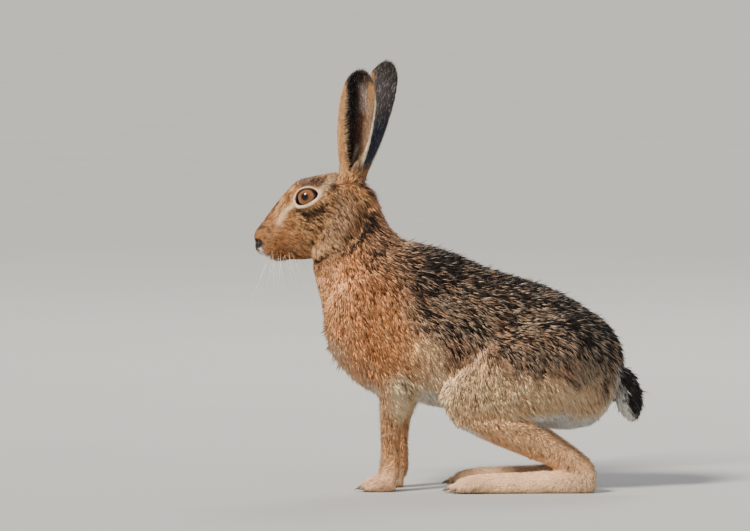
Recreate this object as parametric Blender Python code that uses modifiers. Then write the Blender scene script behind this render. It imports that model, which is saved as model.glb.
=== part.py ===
"""A brown hare sitting up and watchful, life size, as a museum shows it.

Run with blender --background --python part.py, or from Blender's text editor. Metres, +Z up. The hare
faces -X with its left side towards -Y, and stands on the floor at Z = 0 on the flats of its four feet.
The solids give the outline out to the tips of the coat. The body is modelled whole, as lofts that are
fused and smoothed, and is then parted with thin cuts into the pieces that a person would name.

All sizes below are in millimetres, with X counted from the middle of the hare's length.
"""

import math

import bmesh
import bpy
import numpy as np
from mathutils import Matrix, Vector

MM = 0.001
GAP = 0.3
MIDDLE_X = 4.2

# Trunk and neck, from inside the skull to the rump:
# back x and z, belly x and z, half width, and how much wider the section is above its middle
TRUNK = (
    (-95, 316, -126, 258, 22, 0.00),
    (-80, 308, -130, 240, 27, 0.00),
    (-69, 298, -131, 226, 30, -0.05),
    (-62, 277, -127, 211, 34, -0.08),
    (-54, 263, -122, 195, 39, -0.10),
    (-41, 251, -118, 177, 43, -0.10),
    (-20, 245, -115, 155, 46, -0.10),
    (9, 236, -105, 130, 48, -0.08),
    (41, 222.5, -78, 104, 50, -0.05),
    (74, 212, -34, 90, 53, -0.03),
    (96, 205, 8, 83, 55, 0.00),
    (118, 195, 50, 75, 55, 0.00),
    (140, 182, 88, 66, 52, 0.00),
    (160, 168, 120, 61, 45, 0.00),
    (172, 153, 146, 66, 35, 0.00),
    (178, 136, 163, 82, 22, 0.00),
    (179, 124, 172, 100, 9, 0.00),
)

# Limbs and tail, as centre lines: x, y, z, half depth seen from the side, half width seen from the front.
# They are written for a side at +Y.
SHOULDER = (
    (-38, 18, 226, 15, 12),
    (-62, 23, 212, 26, 21),
    (-82, 25, 190, 32, 25),
    (-84, 27, 164, 30, 24),
    (-68, 29, 138, 27, 20),
    (-50, 30, 116, 21, 15),
)
FORELEG = (
    (-62, 29, 136, 22, 16),
    (-51, 30, 116, 22, 14.5),
    (-48.5, 30.5, 99, 18.5, 12.5),
    (-50, 30.5, 84, 14, 11),
    (-52, 30, 68, 11, 9.8),
    (-52.5, 29, 50, 9.4, 9.2),
    (-52.5, 28, 36, 9.6, 9.8),
    (-53, 28, 23, 10.4, 10.8),
    (-54, 28, 13, 10, 10),
)
FOREPAW = (
    (-47.5, 28, 12, 11, 9),
    (-54, 28, 10.5, 12, 11.5),
    (-62, 28, 8.8, 10.4, 13),
    (-70, 28, 7, 8.6, 13),
    (-77, 28, 5.2, 6.2, 11),
)
HAUNCH = (
    (157, 26, 122, 14, 9),
    (146, 30, 127, 32, 18),
    (122, 36, 131, 48, 27),
    (90, 39, 124, 53, 29.5),
    (58, 41, 111, 46, 27.5),
    (31, 42, 99, 35, 23),
    (13, 42, 91, 25, 18),
    (3, 42, 86, 15, 11),
)
SHIN = (
    (20, 42, 87, 20, 17),
    (46, 43, 74, 21, 17),
    (76, 43.5, 58, 18, 14.5),
    (106, 44, 42, 13.5, 11.5),
    (128, 44, 29, 11.5, 10.5),
    (141, 44, 19, 11, 10.5),
)
HINDFOOT = (
    (152, 44, 13, 9, 8),
    (145, 44, 12.5, 13.5, 11.5),
    (122, 44.5, 11, 12.5, 12),
    (88, 45.5, 9.5, 11, 12.5),
    (54, 46.5, 8.8, 10.3, 14),
    (28, 47.5, 7.8, 9.3, 15.5),
    (14, 48, 6, 7, 13),
)
TAIL = (
    (152, 0, 124, 7, 7),
    (158, 0, 122, 12, 12.5),
    (170, 0, 115, 15.5, 16),
    (179, 0, 104, 15, 16),
    (185, 0, 91, 13, 14),
    (188, 0, 79, 9, 9.5),
    (188.5, 0, 72, 3.5, 3.5),
)
RIGHT_FORELEG_BACK = 8

# Toes: how far each lies to the side of the foot's middle, and how far its tip reaches ahead of it
FORE_TOES = ((-8.2, -79), (-2.9, -83.5), (2.9, -83.5), (8.2, -79.5))
HIND_TOES = ((-11, 12), (-3.9, 4.5), (3.9, 3.5), (11, 11))
TOE_RADIUS = 4.9
CLAW_LENGTH = 8.0
CLAW_RADIUS = 1.7

# Head, before it is turned: x is counted from the pivot over the neck.
# Nose and skull above and below the middle line: top x and z, bottom x and z, half width, wider above
HEAD_PIVOT = (-85, 0)
HEAD_TURN = math.radians(13)
HEAD = (
    (-106.6, 255.5, -106.0, 242.5, 4.5, -0.10),
    (-105.0, 259, -103.8, 239.5, 7.2, -0.15),
    (-101.0, 264, -99.6, 235.5, 10.6, -0.22),
    (-93.4, 274, -92.0, 231.5, 14.2, -0.24),
    (-85.2, 285, -80.0, 229.5, 16.8, -0.20),
    (-73.9, 298, -66.0, 229.5, 19.8, -0.06),
    (-62.6, 308.5, -52.0, 230, 23.5, 0.06),
    (-49.3, 313, -38.0, 233.5, 26.5, 0.06),
    (-34.9, 316, -22.0, 241.5, 28.5, 0.00),
    (-20.5, 317.5, -9.5, 250, 28.0, -0.04),
    (-7.2, 312, 0.5, 262, 24.5, -0.04),
    (3.1, 300, 7.0, 277, 16.5, 0.00),
)
# Rounded masses of the face: x, y, z, then half length, half width, half height, and tilt in degrees
FACE_MASSES = (
    (-92.0, 7.5, 240.5, 12.5, 8.6, 9.0, 20),
    (-28, 13.0, 265, 27, 15, 25, 20),
    (-56, 10.5, 252, 24, 11.5, 15, 8),
    (-82, 0, 232, 11, 8.5, 4.5, 4),
    (-46, 12.0, 304.0, 16, 11.0, 7.0, -22),
)

EYE_CENTRE = (-46.4, 16.4, 293.0)
EYE_RADIUS = 12.2
EYE_FORWARD = math.radians(8)
EYE_UP = math.radians(5)
EYE_SLANT = math.radians(25)
LID_THICKNESS = 1.7
LID_OPENING = (11.2, 8.4)
EYE_SIDES = 20
EYE_RINGS = 11

# Mouth line on either side, from the cleft lip back to the corner: x and z
MOUTH = ((-100.5, 238.5), (-96.5, 234.6), (-90, 232.6), (-81, 232.4), (-73, 235))
MOUTH_GROOVE = (1.4, 2.2)
NOSTRIL = ((-105.6, 4.6, 247.2), (-101.4, 7.8, 248.6))
NOSTRIL_GROOVE = (1.9, 3.4)
CLEFT_TOP = 245
CLEFT_BOTTOM = 231
LIP_FRONT = -92
MOUTH_BACK = -60
CLEFT_GROOVE = (1.2, 2.8)

# Ears, along each one's own axis from its root: height, width seen from the side, radius of the bend
# seen from above, wrap of the front edge and of the rear edge in degrees, wall
EAR_ROOT = (-5.8, 13.0, 311.5)
EAR_SECTIONS = (
    (0, 23.5, 10.0, 176, 176, 2.6),
    (8, 23, 10.0, 170, 170, 2.6),
    (15, 23.5, 10.5, 160, 148, 2.6),
    (28, 29, 11.5, 150, 108, 2.4),
    (47, 34.5, 11.5, 148, 94, 2.2),
    (66, 36.5, 10.8, 146, 90, 2.1),
    (80, 36, 9.6, 142, 88, 2.0),
    (94, 32, 8.0, 134, 86, 1.9),
    (102, 26.5, 6.4, 124, 86, 1.8),
    (107.5, 19, 5.0, 114, 86, 1.8),
    (111.5, 9, 3.4, 100, 86, 1.8),
)
CUP_START = 10
CUP_END = 109
EAR_BACK = math.radians(8.9)
EAR_OUT = math.radians(10.5)
EAR_TWIST = math.radians(10)
RIGHT_EAR_BACK = math.radians(5.5)
RIGHT_EAR_STRETCH = 1.085

# Seams, as lines seen from the side: x and z
HEAD_SEAM = (
    (-152, 210), (-130, 226), (-109, 236), (-92, 248), (-80, 264), (-72, 284), (-66, 306), (-60, 326),
)
NECK_SEAM = ((-165, 165), (-122, 199), (-50, 258), (0, 299))
FORELEG_SEAM = (
    (-86, 20), (-88, 80), (-98, 118), (-104, 146), (-98, 168), (-82, 178), (-60, 173), (-41, 156),
    (-28, 131), (-23, 106), (-25, 80), (-30, 20),
)
HAUNCH_SEAM = (
    (-25, 60), (-22, 95), (-8, 124), (18, 152), (48, 173), (84, 185), (116, 184), (142, 169), (158, 143),
    (163, 113), (160, 60), (158, 36),
)
WRIST_SEAM = ((-74, 33), (-34, 29))
ANKLE_SEAM = ((84, 22), (176, 36))
FORELEG_INSIDE = 17
HAUNCH_INSIDE = 24
SIDE_REACH = 120

BODY_VOXEL = 2.0
HEAD_VOXEL = 0.9
BODY_TRIANGLES = 5000
HEAD_TRIANGLES = 4300
EAR_TRIANGLES = 1000

COAT = ((0.36, 0.22, 0.12), 0.85)
EAR_COAT = ((0.42, 0.28, 0.16), 0.85)
TAIL_COAT = ((0.55, 0.50, 0.45), 0.9)
EYE_AMBER = ((0.30, 0.11, 0.03), 0.1)


def new_object(name, points, faces):
    """A mesh object from points in millimetres, with its faces made to point out."""
    mesh = bpy.data.meshes.new(name)
    mesh.from_pydata([Vector((x - MIDDLE_X, y, z)) * MM for x, y, z in points], [], faces)
    shape = bmesh.new()
    shape.from_mesh(mesh)
    bmesh.ops.recalc_face_normals(shape, faces=shape.faces)
    shape.to_mesh(mesh)
    shape.free()
    obj = bpy.data.objects.new(name, mesh)
    bpy.context.scene.collection.objects.link(obj)
    return obj


def smooth_rows(rows, count):
    """Rows of numbers read at even steps along a Catmull-Rom curve through the rows given."""
    rows = np.asarray(rows, float)
    ends = np.vstack([2 * rows[0] - rows[1], rows, 2 * rows[-1] - rows[-2]])
    place = np.linspace(0, len(rows) - 1, count)
    cell = np.minimum(place.astype(int), len(rows) - 2)
    t = (place - cell)[:, None]
    a, b, c, d = (ends[cell + k] for k in range(4))
    return 0.5 * (2 * b + (c - a) * t + (2 * a - 5 * b + 4 * c - d) * t**2 + (3 * b - a - 3 * c + d) * t**3)


def loft(name, rings):
    """A closed body through rings of points, each end closed by a fan to its middle."""
    rings = [np.asarray(ring, float) for ring in rings]
    sides = len(rings[0])
    points = np.vstack([*rings, rings[0].mean(axis=0), rings[-1].mean(axis=0)])
    last = (len(rings) - 1) * sides
    first_pole, last_pole = len(points) - 2, len(points) - 1
    faces = []
    for k in range(sides):
        following = (k + 1) % sides
        faces.append((first_pole, following, k))
        faces.append((last_pole, last + k, last + following))
        for start in range(0, last, sides):
            faces.append((start + k, start + following, start + sides + following, start + sides + k))
    return new_object(name, points, faces)


def oval_rings(rows, power=2.3, sides=32):
    """Rings for rows of top x and z, bottom x and z, middle y, half width and how much wider above."""
    turn = np.linspace(0, 2 * math.pi, sides, endpoint=False)
    up = np.sign(np.cos(turn)) * np.abs(np.cos(turn)) ** (2 / power)
    out = np.sign(np.sin(turn)) * np.abs(np.sin(turn)) ** (2 / power)
    rings = []
    for top_x, top_z, low_x, low_z, middle_y, half_width, wider in rows:
        x = (top_x + low_x) / 2 + (top_x - low_x) / 2 * up
        z = (top_z + low_z) / 2 + (top_z - low_z) / 2 * up
        rings.append(np.stack([x, middle_y + half_width * out * (1 + wider * up), z], axis=1))
    return rings


def spine_loft(name, rows, rings):
    """A loft on the middle plane, from rows of top, bottom, half width and how much wider above."""
    rows = smooth_rows(rows, rings)
    return loft(name, oval_rings(np.insert(rows, 4, 0.0, axis=1)))


def limb(name, rows, side, rings=24, shift=0.0, level=False, sides=32):
    """A limb along a centre line, at the +Y side (side 1) or the -Y side (side -1)."""
    rows = smooth_rows(rows, rings)
    x, y, z, depth, width = rows.T
    along_x, along_z = np.gradient(x), np.gradient(z)
    length = np.hypot(along_x, along_z)
    up_x, up_z = -along_z / length, along_x / length
    if level:
        up_x, up_z = np.zeros_like(x), np.ones_like(x)
    made = np.stack(
        [x + shift + up_x * depth, z + up_z * depth, x + shift - up_x * depth, z - up_z * depth,
         side * y, width, np.zeros_like(x)],
        axis=1,
    )
    return loft(name, oval_rings(made, sides=sides))


def ball(name, centre, halves, tilt=0.0):
    """An ellipsoid, tilted about Y, with its sizes in millimetres."""
    bpy.ops.mesh.primitive_uv_sphere_add(segments=32, ring_count=20, radius=1)
    obj = bpy.context.object
    obj.name = name
    place = Matrix.Translation(Vector((centre[0] - MIDDLE_X, centre[1], centre[2])) * MM)
    size = Matrix.Diagonal((*[h * MM for h in halves], 1))
    obj.data.transform(place @ Matrix.Rotation(math.radians(tilt), 4, "Y") @ size)
    return obj


def rod(name, start, end, start_radius, end_radius, sides=16):
    """A tapered rod with round ends between two points."""
    start, end = Vector(start), Vector(end)
    axis = (end - start).normalized()
    across = axis.orthogonal().normalized()
    other = axis.cross(across)
    rings = []
    for place, radius, ends in ((start, start_radius, (-1.0, -0.7, 0.0)), (end, end_radius, (0.0, 0.7, 1.0))):
        for reach in ends:
            size = radius * math.sqrt(max(1 - reach**2, 0.01))
            rings.append([
                place + axis * (reach * radius)
                + (across * math.cos(a) + other * math.sin(a)) * size
                for a in np.linspace(0, 2 * math.pi, sides, endpoint=False)
            ])
    return loft(name, rings)


def baked(obj):
    """Replaces the object's mesh by the one that its modifiers make."""
    graph = bpy.context.evaluated_depsgraph_get()
    mesh = bpy.data.meshes.new_from_object(obj.evaluated_get(graph))
    obj.modifiers.clear()
    obj.data = mesh
    return obj


def joined(name, pieces):
    """The pieces' meshes in one object, still separate shells."""
    shape = bmesh.new()
    for piece in pieces:
        shape.from_mesh(piece.data)
        bpy.data.objects.remove(piece)
    mesh = bpy.data.meshes.new(name)
    shape.to_mesh(mesh)
    shape.free()
    obj = bpy.data.objects.new(name, mesh)
    bpy.context.scene.collection.objects.link(obj)
    return obj


def fused(name, pieces, voxel, rounds, weight):
    """One closed skin round overlapping pieces, smoothed where weight(x, y, z) is over 0."""
    obj = joined(name, pieces)
    remesh = obj.modifiers.new("Remesh", "REMESH")
    remesh.mode = "VOXEL"
    remesh.voxel_size = voxel * MM
    baked(obj)
    group = obj.vertex_groups.new(name="soft")
    for vertex in obj.data.vertices:
        x, y, z = vertex.co / MM
        group.add([vertex.index], weight(x + MIDDLE_X, y, z), "REPLACE")
    smooth = obj.modifiers.new("Smooth", "SMOOTH")
    smooth.factor = 0.5
    smooth.iterations = rounds
    smooth.vertex_group = group.name
    baked(obj)
    obj.vertex_groups.clear()
    return obj


def thinned(obj, triangles):
    """Collapses edges until about this many triangles are left."""
    count = sum(len(face.vertices) - 2 for face in obj.data.polygons)
    decimate = obj.modifiers.new("Decimate", "DECIMATE")
    decimate.ratio = min(1.0, triangles / count)
    decimate.use_collapse_triangulate = True
    return baked(obj)


def combined(obj, cutters, operation="DIFFERENCE", solver="EXACT"):
    """Cuts the cutters from obj, or joins them to it, and removes them."""
    group = bpy.data.collections.new("cutters")
    bpy.context.scene.collection.children.link(group)
    for cutter in cutters:
        for holder in list(cutter.users_collection):
            holder.objects.unlink(cutter)
        group.objects.link(cutter)
    boolean = obj.modifiers.new("Boolean", "BOOLEAN")
    boolean.operation = operation
    boolean.solver = solver
    boolean.operand_type = "COLLECTION"
    boolean.collection = group
    baked(obj)
    for cutter in cutters:
        bpy.data.objects.remove(cutter)
    bpy.data.collections.remove(group)
    return obj


def islands(obj):
    """The separate closed surfaces of a mesh, as lists of face indices."""
    shape = bmesh.new()
    shape.from_mesh(obj.data)
    left = set(shape.faces)
    found = []
    while left:
        todo = [left.pop()]
        island = []
        while todo:
            face = todo.pop()
            island.append(face.index)
            for edge in face.edges:
                for other in edge.link_faces:
                    if other in left:
                        left.remove(other)
                        todo.append(other)
        found.append(island)
    shape.free()
    return found


def volume_of(mesh, island):
    """Signed volume inside a closed island of faces."""
    total = 0.0
    for index in island:
        corners = [mesh.vertices[v].co for v in mesh.polygons[index].vertices]
        for b, c in zip(corners[1:], corners[2:]):
            total += corners[0].dot(b.cross(c)) / 6
    return total


def kept(obj, name, island):
    """A new object that holds one island of obj."""
    mesh = obj.data
    used = sorted({v for index in island for v in mesh.polygons[index].vertices})
    place = {v: k for k, v in enumerate(used)}
    points = [Vector(mesh.vertices[v].co) / MM + Vector((MIDDLE_X, 0, 0)) for v in used]
    faces = [[place[v] for v in mesh.polygons[index].vertices] for index in island]
    return new_object(name, points, faces)


def largest(obj):
    """The object with only its largest closed surface kept."""
    found = islands(obj)
    if len(found) == 1:
        return obj
    name = obj.name
    obj.name = "old"
    best = max(found, key=lambda island: volume_of(obj.data, island))
    made = kept(obj, name, best)
    bpy.data.objects.remove(obj)
    return made


def parted(obj, marks):
    """The islands of obj as objects, each named by the mark that lies nearest to its surface."""
    found = [i for i in islands(obj) if volume_of(obj.data, i) > 1e-7]
    places = [
        np.array([obj.data.vertices[v].co for v in {v for f in i for v in obj.data.polygons[f].vertices}])
        for i in found
    ]
    made = {}
    for name, mark in marks.items():
        mark = (np.array(mark) - (MIDDLE_X, 0, 0)) * MM
        nearest = [np.linalg.norm(p - mark, axis=1).min() for p in places]
        made[name] = kept(obj, name, found[int(np.argmin(nearest))])
    bpy.data.objects.remove(obj)
    return made


def sheet(name, line, low_y, high_y, count=0):
    """A thin cutter: a line seen from the side, carried across from low_y to high_y."""
    line = smooth_rows(line, count) if count else np.asarray(line, float)
    points = [(x, y, z) for x, z in line for y in (low_y, high_y)]
    faces = [(2 * k, 2 * k + 1, 2 * k + 3, 2 * k + 2) for k in range(len(line) - 1)]
    return thickened(new_object(name, points, faces))


def thickened(obj):
    """Gives an open surface the gap's thickness."""
    solidify = obj.modifiers.new("Solidify", "SOLIDIFY")
    solidify.thickness = GAP * MM
    solidify.offset = 0
    solidify.use_even_offset = True
    return baked(obj)


def pocket(name, outline, inside, side, count=22):
    """A thin cutter round a limb: an outline seen from the side with a wall on its body side."""
    outline = smooth_rows(outline, count)
    near, far = side * inside, side * SIDE_REACH
    points = [(x, near, z) for x, z in outline] + [(x, far, z) for x, z in outline]
    faces = [(k, k + 1, k + 1 + count, k + count) for k in range(count - 1)]
    faces.append(tuple(range(count)))
    return thickened(new_object(name, points, faces))


def turn_head(point):
    """A point of the straight head, moved to where the turned head has it."""
    x, y, z = point
    c, s = math.cos(HEAD_TURN), math.sin(HEAD_TURN)
    return HEAD_PIVOT[0] + x * c + y * s, HEAD_PIVOT[1] - x * s + y * c, z


def turned(obj):
    """Moves a mesh made in the straight head's coordinates to the turned head."""
    for vertex in obj.data.vertices:
        x, y, z = vertex.co / MM
        x, y, z = turn_head((x + MIDDLE_X, y, z))
        vertex.co = Vector((x - MIDDLE_X, y, z)) * MM
    return obj


def straight_points(obj):
    """The mesh's points in the straight head's coordinates, with its normals there."""
    count = len(obj.data.vertices)
    points, normals = np.empty(count * 3), np.empty(count * 3)
    obj.data.vertices.foreach_get("co", points)
    obj.data.vertices.foreach_get("normal", normals)
    points = points.reshape(-1, 3) / MM + (MIDDLE_X, 0, 0)
    normals = normals.reshape(-1, 3)
    c, s = math.cos(HEAD_TURN), math.sin(HEAD_TURN)
    back = np.array([[c, -s, 0], [s, c, 0], [0, 0, 1]])
    return (points - (*HEAD_PIVOT, 0)) @ back.T, normals @ back.T


def distance_to_line(points, line):
    """How far points lie from a polyline."""
    line = np.asarray(line, float)
    best = np.full(len(points), np.inf)
    for a, b in zip(line, line[1:]):
        t = np.clip((points - a) @ (b - a) / ((b - a) @ (b - a)), 0, 1)
        best = np.minimum(best, np.linalg.norm(points - a - t[:, None] * (b - a), axis=1))
    return best


def groove_face(obj):
    """Presses the mouth line, the cleft lip and the nostrils into the head."""
    points, normals = straight_points(obj)
    side_view = points[:, [0, 2]]
    front = points[:, 0] < MOUTH_BACK
    mouth = distance_to_line(side_view, smooth_rows(MOUTH, 24))
    depth = MOUTH_GROOVE[1] * np.exp(-((mouth / MOUTH_GROOVE[0]) ** 2)) * front
    mirrored = np.stack([points[:, 0], np.abs(points[:, 1]), points[:, 2]], axis=1)
    nostril = distance_to_line(mirrored, NOSTRIL)
    depth = np.maximum(depth, NOSTRIL_GROOVE[1] * np.exp(-((nostril / NOSTRIL_GROOVE[0]) ** 2)))
    in_cleft = (points[:, 2] < CLEFT_TOP) & (points[:, 2] > CLEFT_BOTTOM) & (points[:, 0] < LIP_FRONT)
    cleft = CLEFT_GROOVE[1] * np.exp(-((points[:, 1] / CLEFT_GROOVE[0]) ** 2)) * in_cleft
    depth = np.maximum(depth, cleft)
    moved = points - normals * depth[:, None]
    for vertex, (x, y, z) in zip(obj.data.vertices, moved):
        x, y, z = turn_head((x, y, z))
        vertex.co = Vector((x - MIDDLE_X, y, z)) * MM


def eye_axes(side):
    """The eye's outward axis, its long axis towards the nose, and its short axis, on the straight head."""
    level = math.cos(EYE_UP)
    out = Vector((-math.sin(EYE_FORWARD) * level, side * math.cos(EYE_FORWARD) * level, math.sin(EYE_UP)))
    flat = out.cross(Vector((0, 0, 1))).normalized()
    if flat.x > 0:
        flat = -flat
    rise = Vector((0, 0, 1)) - out * out.z
    rise.normalize()
    long = flat * math.cos(EYE_SLANT) - rise * math.sin(EYE_SLANT)
    short = rise * math.cos(EYE_SLANT) + flat * math.sin(EYE_SLANT)
    return out, long, short


def eye_ball(name, side, radius, segments=EYE_SIDES, rings=EYE_RINGS):
    """A ball at the eye, with its poles on the eye's outward axis."""
    centre = Vector((EYE_CENTRE[0], side * EYE_CENTRE[1], EYE_CENTRE[2]))
    out, long, short = eye_axes(side)
    made = []
    for k in range(1, rings):
        polar = math.pi * k / rings
        made.append([
            centre + out * (radius * math.cos(polar))
            + (long * math.cos(a) + short * math.sin(a)) * (radius * math.sin(polar))
            for a in np.linspace(0, 2 * math.pi, segments, endpoint=False)
        ])
    return turned(loft(name, made))


def lid_opening(side, points=24):
    """A cutter as wide as the opening between the lids, from inside the eye outwards."""
    centre = Vector((EYE_CENTRE[0], side * EYE_CENTRE[1], EYE_CENTRE[2]))
    out, long, short = eye_axes(side)
    rings = []
    for reach, size in ((2.0, 0.78), (7.0, 0.93), (9.5, 1.0), (13.0, 1.14), (20.0, 1.4)):
        rings.append([
            centre + out * reach
            + long * (size * LID_OPENING[0] * math.cos(a))
            + short * (size * LID_OPENING[1] * math.sin(a) * (1 - 0.16 * math.cos(a) ** 2))
            for a in np.linspace(0, 2 * math.pi, points, endpoint=False)
        ])
    return turned(loft(f"lid_opening_{side}", rings))


def ear_frame(side):
    """The ear's root, and its axes up, towards the rear and outwards, on the straight head."""
    back = EAR_BACK + (RIGHT_EAR_BACK if side > 0 else 0)
    up = Vector((math.tan(back), side * math.tan(EAR_OUT), 1)).normalized()
    facing = Vector((math.sin(EAR_TWIST), side * math.cos(EAR_TWIST), 0))
    outward = (facing - up * facing.dot(up)).normalized()
    rear = up.cross(outward) * side * -1
    if rear.x < 0:
        rear = -rear
    return Vector((EAR_ROOT[0], side * EAR_ROOT[1], EAR_ROOT[2])), up, rear, outward


def ear_loft(name, side, rows, shape):
    """A loft up the ear's axis, through sections that shape(row) gives as (rear, outward) pairs."""
    root, up, rear, outward = ear_frame(side)
    stretch = RIGHT_EAR_STRETCH if side > 0 else 1
    rings = [[root + up * (row[0] * stretch) + rear * w + outward * d for w, d in shape(row)] for row in rows]
    return turned(loft(name, rings))


def ear_arc(row, inset, steps=20):
    """The bend of the pinna seen from above, from its front edge round to its rear edge."""
    _, width, bend, front, rear, _ = row
    turn = np.linspace(-math.radians(front), math.radians(rear), steps)
    half = max(width / 2 - inset, 0.4)
    depth = max(bend - inset, 0.4)
    return [(half * math.sin(a), -depth * math.cos(a)) for a in turn]


def ear_solid_section(row, grow=0.0):
    """The pinna's outer bend, closed straight across its opening."""
    return ear_arc(row, -grow)


def ear_cup_section(row):
    """The cup's inner bend, carried outwards through the opening."""
    arc = ear_arc(row, row[5])
    (front_w, front_d), (rear_w, rear_d) = arc[0], arc[-1]
    across = Vector((rear_w - front_w, rear_d - front_d))
    out = Vector((-across.y, across.x)).normalized()
    if out.y < 0:
        out = -out
    reach = 3 * row[5] + 4
    return arc + [
        (rear_w + out.x * reach, rear_d + out.y * reach),
        (front_w + out.x * reach, front_d + out.y * reach),
    ]


def ear_rows(low, high, count):
    """The ear's sections between two heights, read from the smooth table."""
    rows = smooth_rows(EAR_SECTIONS, 200)
    heights = np.linspace(low, high, count)
    return np.stack([np.interp(heights, rows[:, 0], rows[:, k]) for k in range(rows.shape[1])], axis=1)


def make_ear(name, side):
    """The pinna: a leaf-shaped solid with its cup cut out."""
    tip = EAR_SECTIONS[-1][0]
    ear = ear_loft(name, side, ear_rows(0, tip, 26), ear_solid_section)
    rows = ear_rows(CUP_START, CUP_END, 24)
    opening = np.clip((rows[:, 0] - CUP_START) / 16, 0.08, 1)
    rows[:, 1] = 2 * rows[:, 5] + (rows[:, 1] - 2 * rows[:, 5]) * opening**0.6
    cup = ear_loft("cup", side, rows, ear_cup_section)
    combined(ear, [cup])
    return thinned(largest(ear), EAR_TRIANGLES)


def ear_socket(side):
    """A cutter that clears the head from the ear's root by the gap."""
    rows = ear_rows(0, 10, 4)
    rows[0, 0] = -GAP
    return ear_loft(f"ear_socket_{side}", side, rows, lambda row: ear_solid_section(row, GAP))


def ear_base(side):
    """The mound that the ear grows from."""
    rows = ear_rows(0, 6, 8)
    rows[:, 0] = np.linspace(-26, 3, 8)
    rows[:, 1] += np.linspace(16, 1.5, 8)
    rows[:, 2] += np.linspace(4.5, 0.8, 8)
    return ear_loft(f"ear_base_{side}", side, rows, ear_solid_section)


def head_pieces():
    """The lofts and rounded masses of the head, on the turned head."""
    pieces = [turned(spine_loft("skull", HEAD, 46))]
    for x, y, z, length, width, height, tilt in FACE_MASSES:
        for side in (1, -1) if y else (1,):
            pieces.append(turned(ball("mass", (x, side * y, z), (length, width, height), tilt)))
    for side in (1, -1):
        pieces.append(eye_ball("lids", side, EYE_RADIUS + LID_THICKNESS, 36, 24))
        pieces.append(ear_base(side))
    return pieces


def toes(side, middle, tips, reach_back, height, shift=0.0):
    """The toes of one foot as rods that lie side by side."""
    made = []
    for offset, tip in tips:
        root = (tip + reach_back + shift, side * middle + offset, height + 1.5)
        end = (tip + 4.5 + shift, side * middle + offset * 1.1, height - 0.6)
        made.append(rod("toe", root, end, TOE_RADIUS, TOE_RADIUS * 0.86))
    return made


def claws(side, middle, tips, shift=0.0):
    """Short blunt claws that come out of the toes and point forwards and down."""
    made = []
    for offset, tip in tips:
        start = (tip + 6 + shift, side * middle + offset * 1.1, 5.6)
        end = (tip - CLAW_LENGTH + 5.5 + shift, side * middle + offset * 1.15, 2.2)
        made.append(rod("claw", start, end, CLAW_RADIUS, 0.6, sides=6))
    return made


def body_pieces():
    """The lofts of everything but the head."""
    pieces = [spine_loft("trunk", TRUNK, 56)]
    for side in (1, -1):
        shift = RIGHT_FORELEG_BACK if side > 0 else 0
        pieces += [
            limb("shoulder", SHOULDER, side),
            limb("foreleg", FORELEG, side, shift=shift),
            limb("forepaw", FOREPAW, side, shift=shift, level=True),
            limb("haunch", HAUNCH, side),
            limb("shin", SHIN, side),
            limb("hindfoot", HINDFOOT, side, level=True),
            *toes(side, 28, FORE_TOES, 16, 5.8, shift),
            *toes(side, 47.8, HIND_TOES, 24, 6.0),
        ]
    return pieces


def grown(rows, gap):
    """A limb's rows, made wider by a gap."""
    return [(x, y, z, depth + gap, width + gap) for x, y, z, depth, width in rows]


def body_softness(x, y, z):
    """How much the fused body is smoothed: fully on the trunk, little on the lower legs and feet."""
    return min(1.0, max(0.08, (z - 45) / 70))


def head_softness(x, y, z):
    """How much the fused head is smoothed: little at the lips and nose, most on the cheeks and skull."""
    return min(1.0, max(0.25, (x + 175) / 30))


def floor_block():
    """Everything under the floor, to cut the flats that the feet rest on."""
    bpy.ops.mesh.primitive_cube_add(size=1)
    obj = bpy.context.object
    obj.data.transform(Matrix.Translation((0, 0, -0.05)) @ Matrix.Diagonal((2, 2, 0.1, 1)))
    return obj


def seams():
    """The thin cuts that part the body."""
    made = [
        sheet("neck_cut", NECK_SEAM, -SIDE_REACH, SIDE_REACH, 8),
        head_cut(),
    ]
    for side in (1, -1):
        shift = RIGHT_FORELEG_BACK if side > 0 else 0
        made.append(pocket("foreleg_cut", FORELEG_SEAM, FORELEG_INSIDE, side))
        made.append(pocket("haunch_cut", HAUNCH_SEAM, HAUNCH_INSIDE, side, 26))
        low, high = sorted((side * 5, side * 60))
        made.append(sheet("wrist_cut", [(x + shift, z) for x, z in WRIST_SEAM], low, high))
        made.append(sheet("ankle_cut", ANKLE_SEAM, low, high))
    return made


def head_cut():
    """The cut behind the jaw and under the ears, which the head and the body share."""
    return sheet("head_cut", HEAD_SEAM, -SIDE_REACH, SIDE_REACH, 20)


def make_body():
    """Neck, torso, tail, legs and feet, parted from one fused body."""
    pieces = body_pieces() + [turned(spine_loft("skull", HEAD, 46))]
    body = fused("body", pieces, BODY_VOXEL, 14, body_softness)
    thinned(body, BODY_TRIANGLES)
    combined(body, [floor_block(), limb("tail_socket", grown(TAIL, GAP), 1, 13, sides=18)])
    combined(body, seams())
    marks = {"torso": (59, 0, 218), "neck": (-62, 0, 277)}
    for side, word in ((1, "right"), (-1, "left")):
        shift = RIGHT_FORELEG_BACK if side > 0 else 0
        marks[f"foreleg_{word}"] = (-62 + shift, side * 29, 60)
        marks[f"forefoot_{word}"] = (-74 + shift, side * 28, 6)
        marks[f"hindleg_{word}"] = (80, side * 68, 120)
        marks[f"hindfoot_{word}"] = (60, side * 60, 10)
    parts = parted(body, marks)
    for side, word in ((1, "right"), (-1, "left")):
        shift = RIGHT_FORELEG_BACK if side > 0 else 0
        combined(parts[f"forefoot_{word}"], claws(side, 28, FORE_TOES, shift), "UNION")
        combined(parts[f"hindfoot_{word}"], claws(side, 47.8, HIND_TOES), "UNION")
    return parts


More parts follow.
